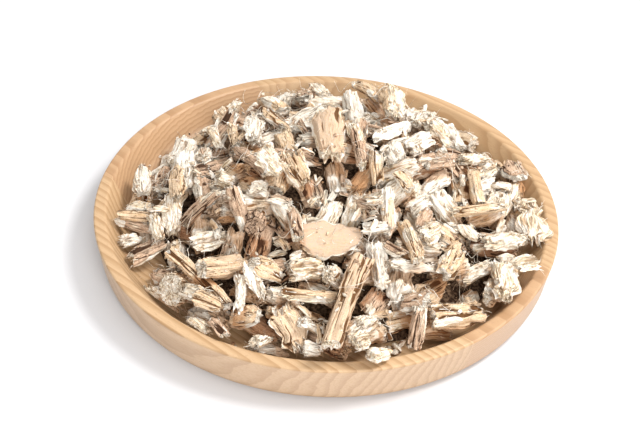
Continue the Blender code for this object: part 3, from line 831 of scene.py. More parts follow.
class Field:
    """Heights of what already lies in the dish, kept on a square grid of small cells."""

    def __init__(self):
        self.count = int(round(2.0 * FIELD_HALF / CELL))
        self.top = np.full((self.count, self.count), -1.0)

    def cells(self, points):
        """Row and column of the cell that each point is over."""
        index = ((points[:, :2] + FIELD_HALF) / CELL).astype(int)
        return np.clip(index, 1, self.count - 2)

    def lay(self, points):
        """Raise the cells under the points to the points' heights."""
        index = self.cells(points)
        np.maximum.at(self.top, (index[:, 0], index[:, 1]), points[:, 2])

    def wide(self):
        """Heights where each cell also has its eight neighbours' heights, for sideways room."""
        rows = np.maximum(self.top, np.maximum(np.roll(self.top, 1, 0), np.roll(self.top, -1, 0)))
        return np.maximum(rows, np.maximum(np.roll(rows, 1, 1), np.roll(rows, -1, 1)))

    def ground(self, points, heights):
        """Height of whatever is under each point, heap or dish."""
        index = self.cells(points)
        dish = dish_height(np.hypot(points[:, 0], points[:, 1]))
        return np.maximum(heights[index[:, 0], index[:, 1]], dish)

    def lift(self, points, heights, heap_gap, dish_gap):
        """How far to raise the points so that they keep both gaps to what is under them."""
        index = self.cells(points)
        over_heap = heights[index[:, 0], index[:, 1]] + heap_gap - points[:, 2]
        over_dish = dish_height(np.hypot(points[:, 0], points[:, 1])) + dish_gap - points[:, 2]
        return max(over_heap.max(), over_dish.max())


def slope_turn(field, points, heights):
    """Turn that lays a level chip along the slope under it, from a plane through the heights there."""
    ground = field.ground(points, heights)
    middle = points.mean(axis=0)
    grid = np.column_stack([points[:, 0] - middle[0], points[:, 1] - middle[1], np.ones(len(points))])
    tilt = np.linalg.lstsq(grid, ground, rcond=None)[0][:2]
    tilt = tilt * min(1.0, STEEPEST / max(np.hypot(*tilt), 1e-9))
    normal = Vector((-tilt[0], -tilt[1], 1.0)).normalized()
    return np.array(Vector((0, 0, 1)).rotation_difference(normal).to_matrix())


@dataclass
class Rest:
    """A chip at rest: the turn of its own frame, the place of its middle, and its corners."""

    chip: Chip
    name: str
    finish: str
    turn: np.ndarray
    place: np.ndarray
    corners: np.ndarray


def settle(field, chip, shell, place, bearing, rng, trials, heap_gap, name="", finish="", pitch=0.0):
    """Let a chip down at a place and return it where it comes to rest.

    It starts along the slope, tipped towards the front by its pitch. Each trial leans and shifts the
    best rest so far a little, less and less, and a rest that brings the chip lower is kept. A
    negative gap lets it sink into the heap.
    """
    corners, triangles = shell
    heights = field.wide() if heap_gap > 0 else field.top
    turn = np.array(Matrix.Rotation(pitch, 3, "X") @ Matrix.Rotation(bearing, 3, "Z"))
    level = corners @ turn.T + np.array([place[0], place[1], 0.0])
    slope = slope_turn(field, surface_samples(level, triangles, SLOPE_SAMPLES_PER_EDGE), heights)
    best, rest = None, None
    lean = np.zeros(2)
    middle = np.array([place[0], place[1], 0.0])
    for trial in range(trials):
        spread = 1.0 - CALMING * trial / trials
        new_lean = np.clip(lean + rng.normal(0.0, LEAN_SPREAD * spread, 2), -LEAN_MOST, LEAN_MOST)
        new_middle = middle + np.array([*rng.normal(0.0, SHIFT_SPREAD * spread, 2), 0.0])
        tip = np.array(Matrix.Rotation(new_lean[0], 3, "Y") @ Matrix.Rotation(new_lean[1], 3, "X"))
        leaning = corners @ (slope @ turn @ tip).T + new_middle
        samples = surface_samples(leaning, triangles)
        rise = field.lift(samples, heights, heap_gap, LOOSE_GAP)
        height = samples[:, 2].mean() + rise
        if best is None or height < best:
            best = height
            lift = np.array([0.0, 0.0, rise])
            rest = Rest(chip, name, finish, slope @ turn @ tip, new_middle + lift, leaning + lift)
            lean, middle = new_lean, new_middle
    field.lay(surface_samples(rest.corners, triangles))
    return rest


field = Field()
print("cells in the field:", field.top.size)

# %% List the chips in the order in which they are poured


def layer_chips():
    """The chips of the first layer with their places, the outermost first."""
    rng = np.random.default_rng(LAYER_SEED)
    chips = []
    for k in range(LAYER_CHIPS - 1, -1, -1):
        reach = LAYER_RADIUS * math.sqrt((k + 0.5) / LAYER_CHIPS)
        angle = k * GOLDEN_ANGLE
        place = (
            HEAP_CENTRE[0] + reach * math.cos(angle) + rng.normal(0, LAYER_SCATTER),
            HEAP_CENTRE[1] + reach * math.sin(angle) + rng.normal(0, LAYER_SCATTER),
        )
        kind = str(rng.choice(["stick", "slab", "shard"], p=[0.35, 0.30, 0.35]))
        length = rng.uniform(*LAYER_LENGTHS)
        width = rng.uniform(*LAYER_WIDTHS)
        flatness = {"stick": 0.9, "slab": 0.5, "shard": 0.7}[kind]
        chip = Chip(kind, length, width, width * flatness, rng.random(9))
        bearing = rng.uniform(-math.pi, math.pi)
        if reach > EDGE_SHARE * LAYER_RADIUS:
            bearing = angle + 0.5 * math.pi + rng.normal(0.0, EDGE_SWING)
        chips.append((chip, place, bearing))
    return chips


def loose_chips():
    """The chips on top, first those at the back by a rule, then the listed ones."""
    rng = np.random.default_rng(LOOSE_SEED)
    chips = []
    for k in range(BACK_CHIPS):
        angle = BACK_FROM + BACK_SWEEP * (k + 0.5 + rng.uniform(-0.4, 0.4)) / BACK_CHIPS
        reach = BACK_REACHES[k % len(BACK_REACHES)]
        kind, finish = BACK_KINDS[k % len(BACK_KINDS)]
        size = [rng.uniform(*bounds) for bounds in (BACK_LENGTHS, BACK_WIDTHS, BACK_THICKNESSES)]
        place = (HEAP_CENTRE[0] + reach * math.cos(angle), HEAP_CENTRE[1] + reach * math.sin(angle))
        bearing = rng.uniform(-math.pi, math.pi)
        chips.append((f"{kind}_back_{k + 1}", finish, Chip(kind, *size, rng.random(9)), place, bearing, 0.0))
    for name, kind, finish, length, width, thickness, x, y, bearing in TOP_CHIPS:
        chip = Chip(kind, length * MM, width * MM, thickness * MM, rng.random(9))
        pitch = math.radians(TIPPED.get(name, 0.0))
        chips.append((name, finish, chip, (x * MM, y * MM), math.radians(bearing), pitch))
    return chips


print("chips to pour:", len(layer_chips()), "and", len(loose_chips()))

# %% Pour the heap again
core = core_shell()
field.lay(surface_samples(*core, CORE_SAMPLES_PER_EDGE))
layer_rests = []
pour = np.random.default_rng(LAYER_SEED + 1)
for number, (chip, place, bearing) in enumerate(layer_chips()):
    shell = chip_shell(chip, LAYER_SIDES, LAYER_SPANS)
    name = f"layer_{number}"
    layer_rests.append(settle(field, chip, shell, place, bearing, pour, LAYER_TRIALS, -LAYER_SINK, name))

loose_rests = []
pour = np.random.default_rng(LOOSE_SEED + 1)
for name, finish, chip, place, bearing, pitch in loose_chips():
    long_stick = chip.length > LONG_STICK and chip.kind == "stick"
    sides, spans = (LONG_SIDES, LONG_SPANS) if long_stick else (LOOSE_SIDES, LOOSE_SPANS)
    if chip.kind == "slice":
        sides, spans = LONG_SIDES, 1
    shell = chip_shell(chip, sides, spans)
    rest = settle(field, chip, shell, place, bearing, pour, LOOSE_TRIALS, LOOSE_GAP, name, finish, pitch)
    loose_rests.append(rest)

misses = []
for rest in loose_rests:
    low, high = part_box(rest.name)
    miss = 0.5 * (np.array(low) + np.array(high) - rest.corners.min(axis=0) - rest.corners.max(axis=0))
    misses.append(np.abs(miss).max())
    rest.place = rest.place + miss
print("largest miss between a solid and its rule, in mm:", round(max(misses) / MM, 4))

# %% [markdown]
# ## The skin of a chip
#
# Close up, a dried root chip is rough at three scales. Its bark is split by wavy furrows along the
# grain. Its flesh has torn in ledges and fibres, also along the grain. Its chopped ends are ragged,
# because each bundle of fibres broke at another length. All of this is worked out in the chip's own
# frame, where x is the grain: noise that is squeezed along x turns into streaks. A furrow is where
# such noise crosses zero, which draws thin lines that wander and fork like real ones. Flat facets
# come from pushing every point that stands beyond a cutting plane nearly back onto it. The sides
# are widened and narrowed by noise too, and a thin slab can narrow towards both ends. A dozen chips
# that stand out in the heap have values of their own for some of these.

# %% Set how rough each kind is
# For each kind: how many mm the furrows stand apart, their depth and half width, how far they
# wander, the height of ledges in the flesh, the ragged reach of the ends, the number of cutting
# planes, how many fibres stick out of the ends and lie on the sides, how jagged the sides are, how
# worn the bark is, and how much both ends narrow.
SKINS = {
    "stick": dict(
        spacing=2.4, depth=0.70, width=0.15, wander=0.5, ledge=0.5, ragged=1.2, cuts=1, frays=9, slivers=12,
        jag=0.08, worn=0.0, round=0.0),
    "slab": dict(
        spacing=3.4, depth=0.50, width=0.12, wander=0.9, ledge=0.7, ragged=2.4, cuts=2, frays=10, slivers=14,
        jag=0.12, worn=0.0, round=0.12),
    "shard": dict(
        spacing=2.6, depth=0.60, width=0.13, wander=0.8, ledge=1.0, ragged=2.6, cuts=4, frays=12, slivers=20,
        jag=0.16, worn=0.0, round=0.0),
    "slice": dict(
        spacing=2.0, depth=0.20, width=0.16, wander=0.5, ledge=0.0, ragged=0.3, cuts=0, frays=0, slivers=0,
        jag=0.05, worn=0.0, round=0.0),
}
# The same for single chips, with two more: a tone, which is drawn at random otherwise, and the least
# share of bark on the sides.
HAND_SKINS = {
    "stick_slanting_left": dict(
        spacing=1.2, depth=1.2, width=0.30, wander=0.1, ledge=0.2, cuts=0, barked=1.0),
    "stick_long_front": dict(
        spacing=1.35, depth=0.4, width=0.22, wander=0.1, ledge=0.1, ragged=0.8, cuts=0, worn=0.5,
        barked=1.0),
    "slab_right": dict(jag=0.5, ragged=3.4, tone=1.0),
    "slab_right_wall": dict(jag=0.55, ragged=3.8, tone=1.0),
    "slab_curved_front": dict(jag=0.3, ragged=3.0, worn=0.3),
    "slice_dark": dict(tone=1.0),
    "slab_crest": dict(worn=0.7, tone=1.0),
    "slab_comb": dict(spacing=1.7, depth=1.5, width=0.22, wander=0.2),
    "stick_striped_right": dict(spacing=1.5, depth=1.0, width=0.20, wander=0.2),
    "knot_right": dict(spacing=1.5, depth=1.3, width=0.24, wander=1.2, frays=20, slivers=40),
    "slab_wide_middle": dict(
        spacing=16.0, depth=0.1, width=0.03, cuts=0, ragged=2.0, jag=0.10, worn=0.92, round=0.42),
    "stick_level_left": dict(spacing=1.4, depth=0.35, width=0.14, wander=0.3, worn=0.3),
}
print("chips with values of their own:", len(HAND_SKINS))

# %% Lay a grid over a chip


def chip_grid(chip, columns, rows, cap_rings):
    """A chip's surface as a closed grid: pole, rings of one cut end, sides, rings of the other, pole.

    On a cut end, points run from the end's middle to its rim: middle + share (rim - middle). The
    first column is on the underside. Returns the grid, each row's along and each row's share.
    """
    angle = np.linspace(0.0, 2.0 * math.pi, columns, endpoint=False) - 0.5 * math.pi
    rings = np.linspace(0.0, 1.0, cap_rings + 1, endpoint=False)
    along = np.concatenate([-np.ones(len(rings)), np.linspace(-1.0, 1.0, rows), np.ones(len(rings))])
    share = np.concatenate([rings, np.ones(rows), rings[::-1]])
    grid = chip_surface(chip, along[:, None], angle[None, :] + 0.0 * along[:, None])
    middle = grid.mean(axis=1, keepdims=True)
    grid = middle + (grid - middle) * share[:, None, None]
    return grid, along, share


def grid_normals(grid):
    """Outward directions: the cross product of the steps round the grid and along it."""
    around = np.roll(grid, -1, axis=1) - np.roll(grid, 1, axis=1)
    onward = np.gradient(grid, axis=0)
    onward[0] = onward[1]
    onward[-1] = onward[-2]
    around[0] = around[1]
    around[-1] = around[-2]
    normal = np.cross(around, onward)
    normal /= np.maximum(np.linalg.norm(normal, axis=-1, keepdims=True), 1e-12)
    normal[0] = normal[1].mean(axis=0)
    normal[-1] = normal[-2].mean(axis=0)
    return normal / np.maximum(np.linalg.norm(normal, axis=-1, keepdims=True), 1e-9)


def bark_share(chip, finish, normal, streaks, blotches, rng):
    """Where bark is left: nearly all round a length of root, one side of a slab or shard."""
    pale = finish == "root_pale"
    if chip.kind == "slice":
        return np.ones(streaks.shape)
    if chip.kind == "stick":
        return smoothstep(0.25, 0.45, blotches) if pale else 1.0 - smoothstep(0.35, 0.55, blotches)
    facing = rng.uniform(0.0, 2.0 * math.pi) if chip.kind == "shard" else 0.5 * math.pi
    if pale:
        facing = -0.5 * math.pi
    side = normal[..., 1] * math.cos(facing) + normal[..., 2] * math.sin(facing)
    return smoothstep(0.05, 0.45, side + 0.35 * blotches + 0.15 * streaks)


trial_grid, _, _ = chip_grid(trial_chip, 24, 12, 3)
print("a grid of 12 rows and 3 rings on each cut end:", trial_grid.shape)

# %% Give a chip its skin


def chip_skin(chip, name, finish, seed, spacing_mm, cap_rings=3):
    """Points, faces and point values of a chip's rough skin, in its own frame.

    A point is surface + normal * relief, where relief is streaks and ledges less furrows. Its ends
    are then pulled in unevenly along the grain, and cutting planes press facets into it.
    """
    rng = np.random.default_rng(seed)
    look = {**SKINS[chip.kind], **HAND_SKINS.get(name, {})}
    girth = 2.0 * (chip.width + chip.thickness)
    columns = int(np.clip(girth / (spacing_mm * MM), 10, 72))
    rows = int(np.clip(chip.length / (spacing_mm * MM), 6, 96))
    grid, along, share = chip_grid(chip, columns, rows, cap_rings)
    normal = grid_normals(grid)
    shift = rng.uniform(0.0, 30.0, 3)
    q = grid / MM + shift
    if chip.kind == "slice":
        q = q[..., [2, 1, 0]]
    side = share[:, None] >= 1.0
    end = smoothstep(0.55, 1.0, np.abs(along))[:, None] + 0.0 * q[..., 0]
    size = 0.25 + 0.75 * min(1.0, chip.thickness / (5.0 * MM))
    ragged = min(look["ragged"], 0.17 * chip.length / MM)

    streaks = noise(q, (0.09, 1.0, 1.0))
    fine = noise(q, (0.25, 2.3, 2.3))
    blotches = noise(q, (0.13, 0.26, 0.26))
    grit = noise(q, (1.7, 1.7, 1.7))
    bark = bark_share(chip, finish, normal, streaks, blotches, rng)
    if finish != "root_bark" or chip.kind != "slice":
        bark = bark * side
    bark = np.maximum(bark, look.get("barked", 0.0) * side)
    flesh = 1.0 - bark

    wander = noise(q, (0.12, 0.12, 0.12)) * look["wander"]
    thread = 1.2 / look["spacing"]
    lines = noise(q + wander[..., None], (0.02, thread, thread))
    furrow = 1.0 - smoothstep(0.0, look["width"], np.abs(lines))
    furrow *= smoothstep(-0.5, -0.1, noise(q, (0.11, 0.4, 0.4))) * (bark + 0.75 * flesh)
    layers = noise(q, (0.05, 0.38, 0.38)) * 3.5
    ledges = np.floor(layers) + smoothstep(0.0, 0.30, layers - np.floor(layers)) - layers
    relief = bark * (0.26 * streaks + 0.14 * fine)
    relief += flesh * (0.42 * streaks + 0.26 * fine + look["ledge"] * ledges + 0.20 * grit)
    relief -= look["depth"] * furrow
    if chip.kind == "slice":
        relief = 0.36 * grit + 0.30 * noise(q, (0.8, 0.8, 0.8)) - 0.35 * side * (1.0 + fine)
    relief *= size
    grid[..., 1] *= 1.0 - look["round"] * along[:, None] ** 4
    across_place = np.stack([q[..., 0], 9.0 * np.sign(grid[..., 1]), 0.0 * q[..., 0]], axis=-1)
    grid[..., 1] *= 1.0 + look["jag"] * noise(across_place, (0.33, 1.0, 1.0))
    grid = grid + normal * relief[..., None] * MM

    across_grain = q * np.array([0.0, 1.0, 1.0])
    notches = np.abs(noise(across_grain, (1.0, 0.55, 0.55)))
    broken = 1.3 * notches + 0.5 * np.abs(noise(across_grain, (1.0, 1.6, 1.6)))
    pull = ragged * end * (broken - 0.15) * np.sign(along)[:, None]
    if chip.kind != "slice":
        grid[..., 0] -= pull * MM
        thin = 1.0 - 0.35 * end * smoothstep(0.2, 0.7, notches)
        middle = grid.mean(axis=1, keepdims=True)
        grid[..., 2] = middle[..., 2] + (grid[..., 2] - middle[..., 2]) * thin
    for _ in range(look["cuts"]):
        direction = rng.normal(0.0, 1.0, 3) * (0.35, 1.0, 1.0)
        direction /= np.linalg.norm(direction)
        reach = grid @ direction
        most = reach.max() * rng.uniform(0.68, 0.86)
        grid = grid - np.maximum(reach - most, 0.0)[..., None] * direction * 0.9

    values = {
        "bark": bark,
        "furrow": furrow,
        "cut": np.where(side, 0.0, 1.0) + 0.0 * bark,
        "tone": np.full(bark.shape, look.get("tone", rng.random())),
        "worn": np.full(bark.shape, look["worn"]),
        "grain": q,
    }
    for key, value in values.items():
        values[key] = grid_points(value.reshape(*bark.shape, -1)).squeeze()
    faces = closed_faces(len(along) - 2, columns)
    return grid_points(grid), faces, values


trial_points, _, trial_values = chip_skin(trial_chip, "trial", "root_tan", 1, 0.45)
print("one chip's skin:", len(trial_points), "points and values", sorted(trial_values))

# %% Find what lies deep in the heap
# Points this deep below their surroundings begin and end to darken with painted shade. What lies over
# a point counts for this share, and what lies at eight spots beside it, this far off, for the rest.
DEEP_RANGE = (0.3 * MM, 5.2 * MM)
OVER_SHARE = 0.6
BESIDE = 3.0 * MM
RING = [np.array([math.cos(a), math.sin(a)]) for a in np.linspace(0.0, 2.0 * math.pi, 8, endpoint=False)]


def height_around(spots, reach):
    """Mean height of what lies at eight spots round each spot."""
    return np.mean([field.ground(spots + reach * step, field.top) for step in RING], axis=0)


def depth_in_heap(points):
    """How much painted shade a point gets: 0 in the open, up to 1 a few mm below what lies over or beside
    it.
    """
    over = field.ground(points, field.wide()) - points[:, 2]
    beside = height_around(points[:, :2], BESIDE) - points[:, 2]
    return smoothstep(*DEEP_RANGE, OVER_SHARE * over + (1.0 - OVER_SHARE) * beside)


def add_chip(skins, rest, seed, spacing_mm, cap_rings=3):
    """Add a chip's skin, turned and placed as the chip lies."""
    skin = chip_skin(rest.chip, rest.name, rest.finish, seed, spacing_mm, cap_rings)
    points, (quads, triangles), values = skin
    points = points @ rest.turn.T + rest.place
    # deep says how far painted shade darkens each point.
    skins.add(points, quads, triangles, deep=depth_in_heap(points), **values)


middles = np.array([rest.place for rest in layer_rests])
print("mean depth of the first layer, from 0 to 1:", round(float(depth_in_heap(middles).mean()), 2))

# %% [markdown]
# ## The finish of root
#
# Flesh is cream white with faint beige fibres; bark is tan, grey-brown or nearly black, and always
# darker in its furrows, partly by its own colour and partly by painted shade. The chopped ends are
# grainy. The mesh carries what the formula needs: how much bark a point has and how worn that is, how
# deep in a furrow it is, whether it is on a cut end, a tone that differs from chip to chip, how deep
# it lies in the heap, where painted shade makes it darker and browner, and its place along the chip's
# own grain, so that the fibres in the colour run along each chip however it lies.

# %% Choose the colours of root
# For each finish: two colours of bark, and the colour in its furrows, partly their own darker colour and
# partly painted shade.
ROOT_COLOURS = {
    "root_pale": dict(
        bark=(0.79, 0.635, 0.465), bark_two=(0.66, 0.465, 0.30), groove=(0.27, 0.135, 0.055)),
    "root_tan": dict(
        bark=(0.80, 0.61, 0.42), bark_two=(0.64, 0.425, 0.245), groove=(0.16, 0.075, 0.03)),
    "root_bark": dict(
        bark=(0.66, 0.465, 0.325), bark_two=(0.39, 0.245, 0.155), groove=(0.075, 0.036, 0.019)),
}
FLESH = (0.905, 0.86, 0.775)
WORN_BARK = (0.53, 0.395, 0.30)
FLESH_CREAM = (0.87, 0.745, 0.56)
FLESH_STREAK = (0.54, 0.33, 0.155)
# Painted shade: the colour that points deep in the heap are multiplied towards, and how strongly.
PAINTED_SHADE_TINT = (0.66, 0.38, 0.18)
PAINTED_SHADE_SHARE = 0.66
print("finishes:", list(ROOT_COLOURS))

# %% Make the root finishes


def root_finish(name):
    """Flesh and bark are each a base colour with streaks, and the bark attribute chooses between them.

    Furrows and cracks are darkened, partly as their own colour and partly as painted shade, and points
    deep in the heap are darkened by painted shade.
    """
    colours = ROOT_COLOURS[name]
    root = Finish(name, Roughness=0.9, Specular_IOR_Level=0.15)
    grain = root.attribute("grain", "Vector")
    bark, furrow, cut, tone = (root.attribute(key) for key in ("bark", "furrow", "cut", "tone"))
    fibres = root.noise(grain.scaled(0.14, 1.0, 1.0), 1.2, 4.0, 0.6)
    threads = root.noise(grain.scaled(0.12, 1.0, 1.0), 1.8, 3.0, 0.65)
    patches = root.noise(grain.scaled(0.5, 1.0, 1.0), 0.30, 3.0, 0.55)
    grains = root.noise(grain, 1.6, 3.0, 0.7)
    lines = root.noise(grain.scaled(0.04, 1.0, 1.0), 1.05, 2.0, 0.5)
    crack = 1.0 - (lines - 0.5).maths("ABSOLUTE").step(0.012, 0.055)
    crack = crack * patches.step(0.46, 0.58)
    cream = patches.step(0.36, 0.62) * (tone * 0.9 + 0.25)
    flesh = root.mix(cream, FLESH, FLESH_CREAM)
    flesh = root.mix(fibres.step(0.55, 0.62) * (0.18 + tone * 0.45), flesh, FLESH_STREAK)
    flesh = root.mix(threads.step(0.53, 0.58) * (0.25 + tone * 0.40), flesh, FLESH_STREAK)
    flesh = root.mix((cut * 0.6 + 0.4) * grains.step(0.55, 0.61) * 0.55, flesh, FLESH_STREAK)
    # Partly painted shade: furrows and cracks in the flesh take the groove colour, partly as their own
    # darker colour.
    flesh = root.mix((crack * 0.65 + furrow).step(0.15, 0.80) * 0.70, flesh, colours["groove"])
    skin = root.mix(fibres.step(0.48, 0.64), colours["bark"], colours["bark_two"])
    skin = root.mix(patches.step(0.52, 0.68) * (1.0 - tone) * 0.75, skin, FLESH_CREAM)
    skin = root.mix(threads.step(0.50, 0.56) * 0.60, skin, colours["bark_two"])
    skin = root.mix(grains.step(0.56, 0.62) * 0.50, skin, colours["groove"])
    worn = root.attribute("worn")
    fresh = 1.0 - worn
    specks = grains.step(0.46, 0.56) * 0.5 + patches.step(0.45, 0.6) * 0.2
    skin = root.mix(worn, skin, root.mix(specks, WORN_BARK, colours["bark_two"]))
    # Partly painted shade: furrows and cracks in fresh bark take the groove colour, partly as the bark's own
    # darker colour.
    lined = furrow + (crack * 0.7 + (threads - 0.5) * 0.4) * fresh
    skin = root.mix(lined.step(0.25, 0.75), skin, colours["groove"])
    edge = (bark + (fibres - 0.5) * 0.6).step(0.38, 0.58)
    colour = root.mix(edge, flesh, skin)
    # Painted shade: points deep in the heap are multiplied towards a warm brown.
    colour = root.mix(root.attribute("deep") * PAINTED_SHADE_SHARE, colour, PAINTED_SHADE_TINT, "MULTIPLY")
    height = (fibres * 0.7 + threads * 0.45 - crack * 0.6) * fresh + grains * (0.25 + cut * 0.5)
    return root.shade(Base_Color=colour, Normal=root.bump(height, 1.2 * MM, 1.0))


root_materials = {name: root_finish(name) for name in ROOT_COLOURS}
print("nodes in a root finish:", len(root_materials["root_tan"].node_tree.nodes))

# %% [markdown]
# ## The chips on top
#
# Each loose chip is a piece of its own, so it keeps its own name and can be repainted on its own.
# Its skin has a point about every 0.4 mm, fine enough for the furrows and torn ledges to catch the
# light.

# %% Dress the loose chips
LOOSE_SKIN_STEP = 0.40
LOOSE_SKIN_SEED = 1000
LOOSE_CAP_RINGS = 5
SLICE_CAP_RINGS = 16

for number, rest in enumerate(loose_rests):
    skins = Skins()
    rings = SLICE_CAP_RINGS if rest.chip.kind == "slice" else LOOSE_CAP_RINGS
    add_chip(skins, rest, LOOSE_SKIN_SEED + number, LOOSE_SKIN_STEP, rings)
    piece = skins.piece(rest.name + "_chip", root_materials[rest.finish])
    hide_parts(rest.name)
print("loose chips:", len(loose_rests), "triangles so far:", sum(total_triangles))

# %% [markdown]
# ## The heap under them
#
# Between the loose chips one looks down on more chips and, in the gaps, into the dark inside of the
# heap. The core is a bumpy dome with a nearly black finish, which is painted shade for the gaps. The
# chips of the first layer are dressed like the loose ones, a little coarser, and joined by finish.

# %% Share out the finishes
HEAP_FINISH_SEED = 77
# The share of pale chips on the left and on the right, where the one turns into the other, and how
# the rest is split between tan and bark.
PALE_SHARES = (0.30, 0.62)
PALE_RANGE = (-30.0 * MM, 40.0 * MM)
REST_SHARES = (0.58, 0.42)


def draw_finish(x, draw):
    """One of the three root finishes: pale ones are drawn more often towards the right."""
    pale = PALE_SHARES[0] + (PALE_SHARES[1] - PALE_SHARES[0]) * float(smoothstep(*PALE_RANGE, x))
    others = [share * (1.0 - pale) for share in REST_SHARES]
    return str(draw.choice(list(ROOT_COLOURS), p=[pale, *others]))


draw = np.random.default_rng(HEAP_FINISH_SEED)
for rest in layer_rests:
    rest.finish = draw_finish(rest.place[0], draw)
finishes = [rest.finish for rest in layer_rests]
print("chips of each finish:", {finish: finishes.count(finish) for finish in ROOT_COLOURS})

# %% Make the core
CORE_COLUMNS = 120
CORE_ROWS = 44
CORE_BUMP = 1.6 * MM


def core_grid():
    """The dome's surface: rows from the top to the rim, then in along the flat base.

    With out from 0 at the top to 1 at the rim, a point lies between the peak and the rim's circle,
    at height base + edge (1 - out^12) + rise (1 - out^power), shaken by noise.
    """
    angle = np.linspace(0.0, 2.0 * math.pi, CORE_COLUMNS, endpoint=False)[None, :]
    out = np.linspace(0.0, 1.0, CORE_ROWS)[:, None]
    base = FLOOR_TOP + LOOSE_GAP
    rise = CORE_EDGE * (1.0 - out ** 12) + (CORE_TOP - base - CORE_EDGE) * (1.0 - out ** CORE_POWER)
    x = (1.0 - out) * HEAP_PEAK[0] + out * (HEAP_CENTRE[0] + CORE_RADIUS * np.cos(angle))
    y = (1.0 - out) * HEAP_PEAK[1] + out * (HEAP_CENTRE[1] + CORE_RADIUS * np.sin(angle))
    top = np.stack([x, y, base + rise + 0.0 * angle], axis=-1)
    bump = noise(top / MM, (0.28, 0.28, 0.28)) + 0.5 * noise(top / MM, (0.7, 0.7, 0.7))
    top[..., 2] += CORE_BUMP * (bump - 0.8) * (1.0 - out ** 6)
    under = top[-2::-6].copy()
    under[..., 2] = base
    grid = np.concatenate([top, under])
    grid[0] = grid[0, 0]
    grid[-1] = grid[-1].mean(axis=0)
    return grid


def make_core_finish():
    """Painted shade for the gaps: a nearly black brown and a dark brown, mixed by fine noise."""
    dark = Finish("heap_shade", Roughness=0.95, Specular_IOR_Level=0.1)
    crumbs = dark.noise(dark.object_place(), 900.0, 3.0, 0.6)
    # Painted shade: the whole core is nearly black brown, for the deep shade in the gaps.
    colour = dark.mix(crumbs.step(0.4, 0.65), (0.035, 0.018, 0.010), (0.16, 0.10, 0.06))
    return dark.shade(Base_Color=colour, Normal=dark.bump(crumbs, 0.5 * MM, 1.0))


core_skin = Skins()
whole_core = core_grid()
core_skin.add(grid_points(whole_core), *closed_faces(len(whole_core) - 2, CORE_COLUMNS))
heap_pieces = [core_skin.piece("heap_core", make_core_finish())]
print("points on the core:", core_skin.count)

# %% Dress the heap
HEAP_STEP = 0.95
HEAP_SKIN_SEED = 3000

heap_skins = {finish: Skins() for finish in ROOT_COLOURS}
for number, rest in enumerate(layer_rests):
    add_chip(heap_skins[rest.finish], rest, HEAP_SKIN_SEED + number, HEAP_STEP)
for finish, skins in heap_skins.items():
    heap_pieces.append(skins.piece("heap_" + finish.replace("root_", "") + "_chips", root_materials[finish]))
for piece in heap_pieces:
    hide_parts("heap")
print("chips in the heap:", len(layer_rests), "triangles so far:", sum(total_triangles))

# %% [markdown]
# ## Small chips in the gaps
#
# A chopper makes many more small bits than large ones. Those that can be told apart are listed one by
# one, with their places. The rest are let down by the same rule as the large ones: of a few random
# spots, the one that lies deepest below its surroundings is taken, because small bits roll into gaps.
# One that would stand tall, hang in the air or hide a large chip is taken away again. Their skins are
# coarser, and all those of one finish are one mesh.

# %% Place the smaller chips that can be told apart
# Kind, finish, length, width and thickness in mm, the place of the middle, and the bearing.
PLACED_CHIPS = [
    ("shard", "root_pale", 9.5, 4, 2.5, -44, -74, -47),
    ("shard", "root_pale", 8, 7.5, 5, 2.5, -50, -3),
    ("shard", "root_pale", 6, 5, 4, -4, -79.5, 15),
    ("shard", "root_pale", 6, 5, 3, 13, -76.5, 42),
    ("shard", "root_pale", 5.5, 6, 4, 11.5, -79, 36),
    ("shard", "root_pale", 11.5, 5, 4, 18.5, -83.5, 53),
    ("slab", "root_pale", 10.5, 8, 2.5, 73.5, -37.5, 29),
    ("shard", "root_pale", 8.5, 7, 4.5, 31.5, -21.5, 35),
    ("slab", "root_bark", 8, 5, 2.5, 34, -25, 64),
    ("shard", "root_pale", 9, 7, 4, 38, -36, 43),
    ("slab", "root_pale", 10.5, 6, 2, 55, -19.5, -65),
    ("shard", "root_pale", 6.5, 7, 5, -41.5, -8, -1),
    ("slab", "root_bark", 12.5, 8, 3, 16, -26.5, -43),
    ("slab", "root_pale", 5, 4, 1.5, 19, -28, 3),
    ("slab", "root_pale", 8.5, 5, 2, 20, -32.5, 3),
    ("shard", "root_pale", 11.5, 2.6, 2, -40, -32.5, -82),
    ("slab", "root_tan", 13.5, 8, 3, -20.5, -49.5, 2),
    ("slab", "root_bark", 7.5, 7, 2, 25, -41.5, -32),
    ("shard", "root_pale", 10, 6, 4, -39, -58.5, -18),
    ("slab", "root_tan", 10.5, 6, 2.5, -36, -64, -23),
    ("stick", "root_bark", 8, 5, 4, -35, -74.5, -44),
    ("shard", "root_tan", 10.5, 5, 3, -20, -75.5, 64),
    ("shard", "root_pale", 8.5, 6, 4, -3.5, -70.5, 26),
    ("slab", "root_pale", 10, 6, 3, -73, -9, -6),
    ("stick", "root_tan", 15, 4, 4, -68, -15.5, -3),
    ("shard", "root_pale", 8, 5, 4, -75.5, -25, 35),
    ("shard", "root_pale", 10.5, 5, 4, -61.5, -20.5, -81),
    ("slab", "root_tan", 18, 7, 3, -58.5, -7, 98),
    ("shard", "root_pale", 12, 5, 4, -50.5, 11, 81),
    ("stick", "root_tan", 15.5, 4.5, 4, -36, 19.5, -78),
    ("shard", "root_pale", 9, 4, 3, -44, 23, -65),
    ("slab", "root_tan", 18, 6, 3, -24.5, 22.5, -54),
    ("shard", "root_pale", 11, 8, 5, -20, -11, -46),
    ("stick", "root_tan", 12.5, 5, 4, 17, -7.5, -63),
    ("shard", "root_pale", 8, 6, 4, -25.5, -16.5, -12),
    ("slab", "root_pale", 18, 7, 3, 34, 16.5, 47),
    ("shard", "root_tan", 8, 6, 4, 29, -17.5, -51),
    ("slab", "root_bark", 10, 7, 3, -13.5, -24, -28),
]
PLACED_SINK = 0.5 * MM
PLACED_SPANS = 2
PLACED_TRIALS = 10
PLACED_SEED = 47
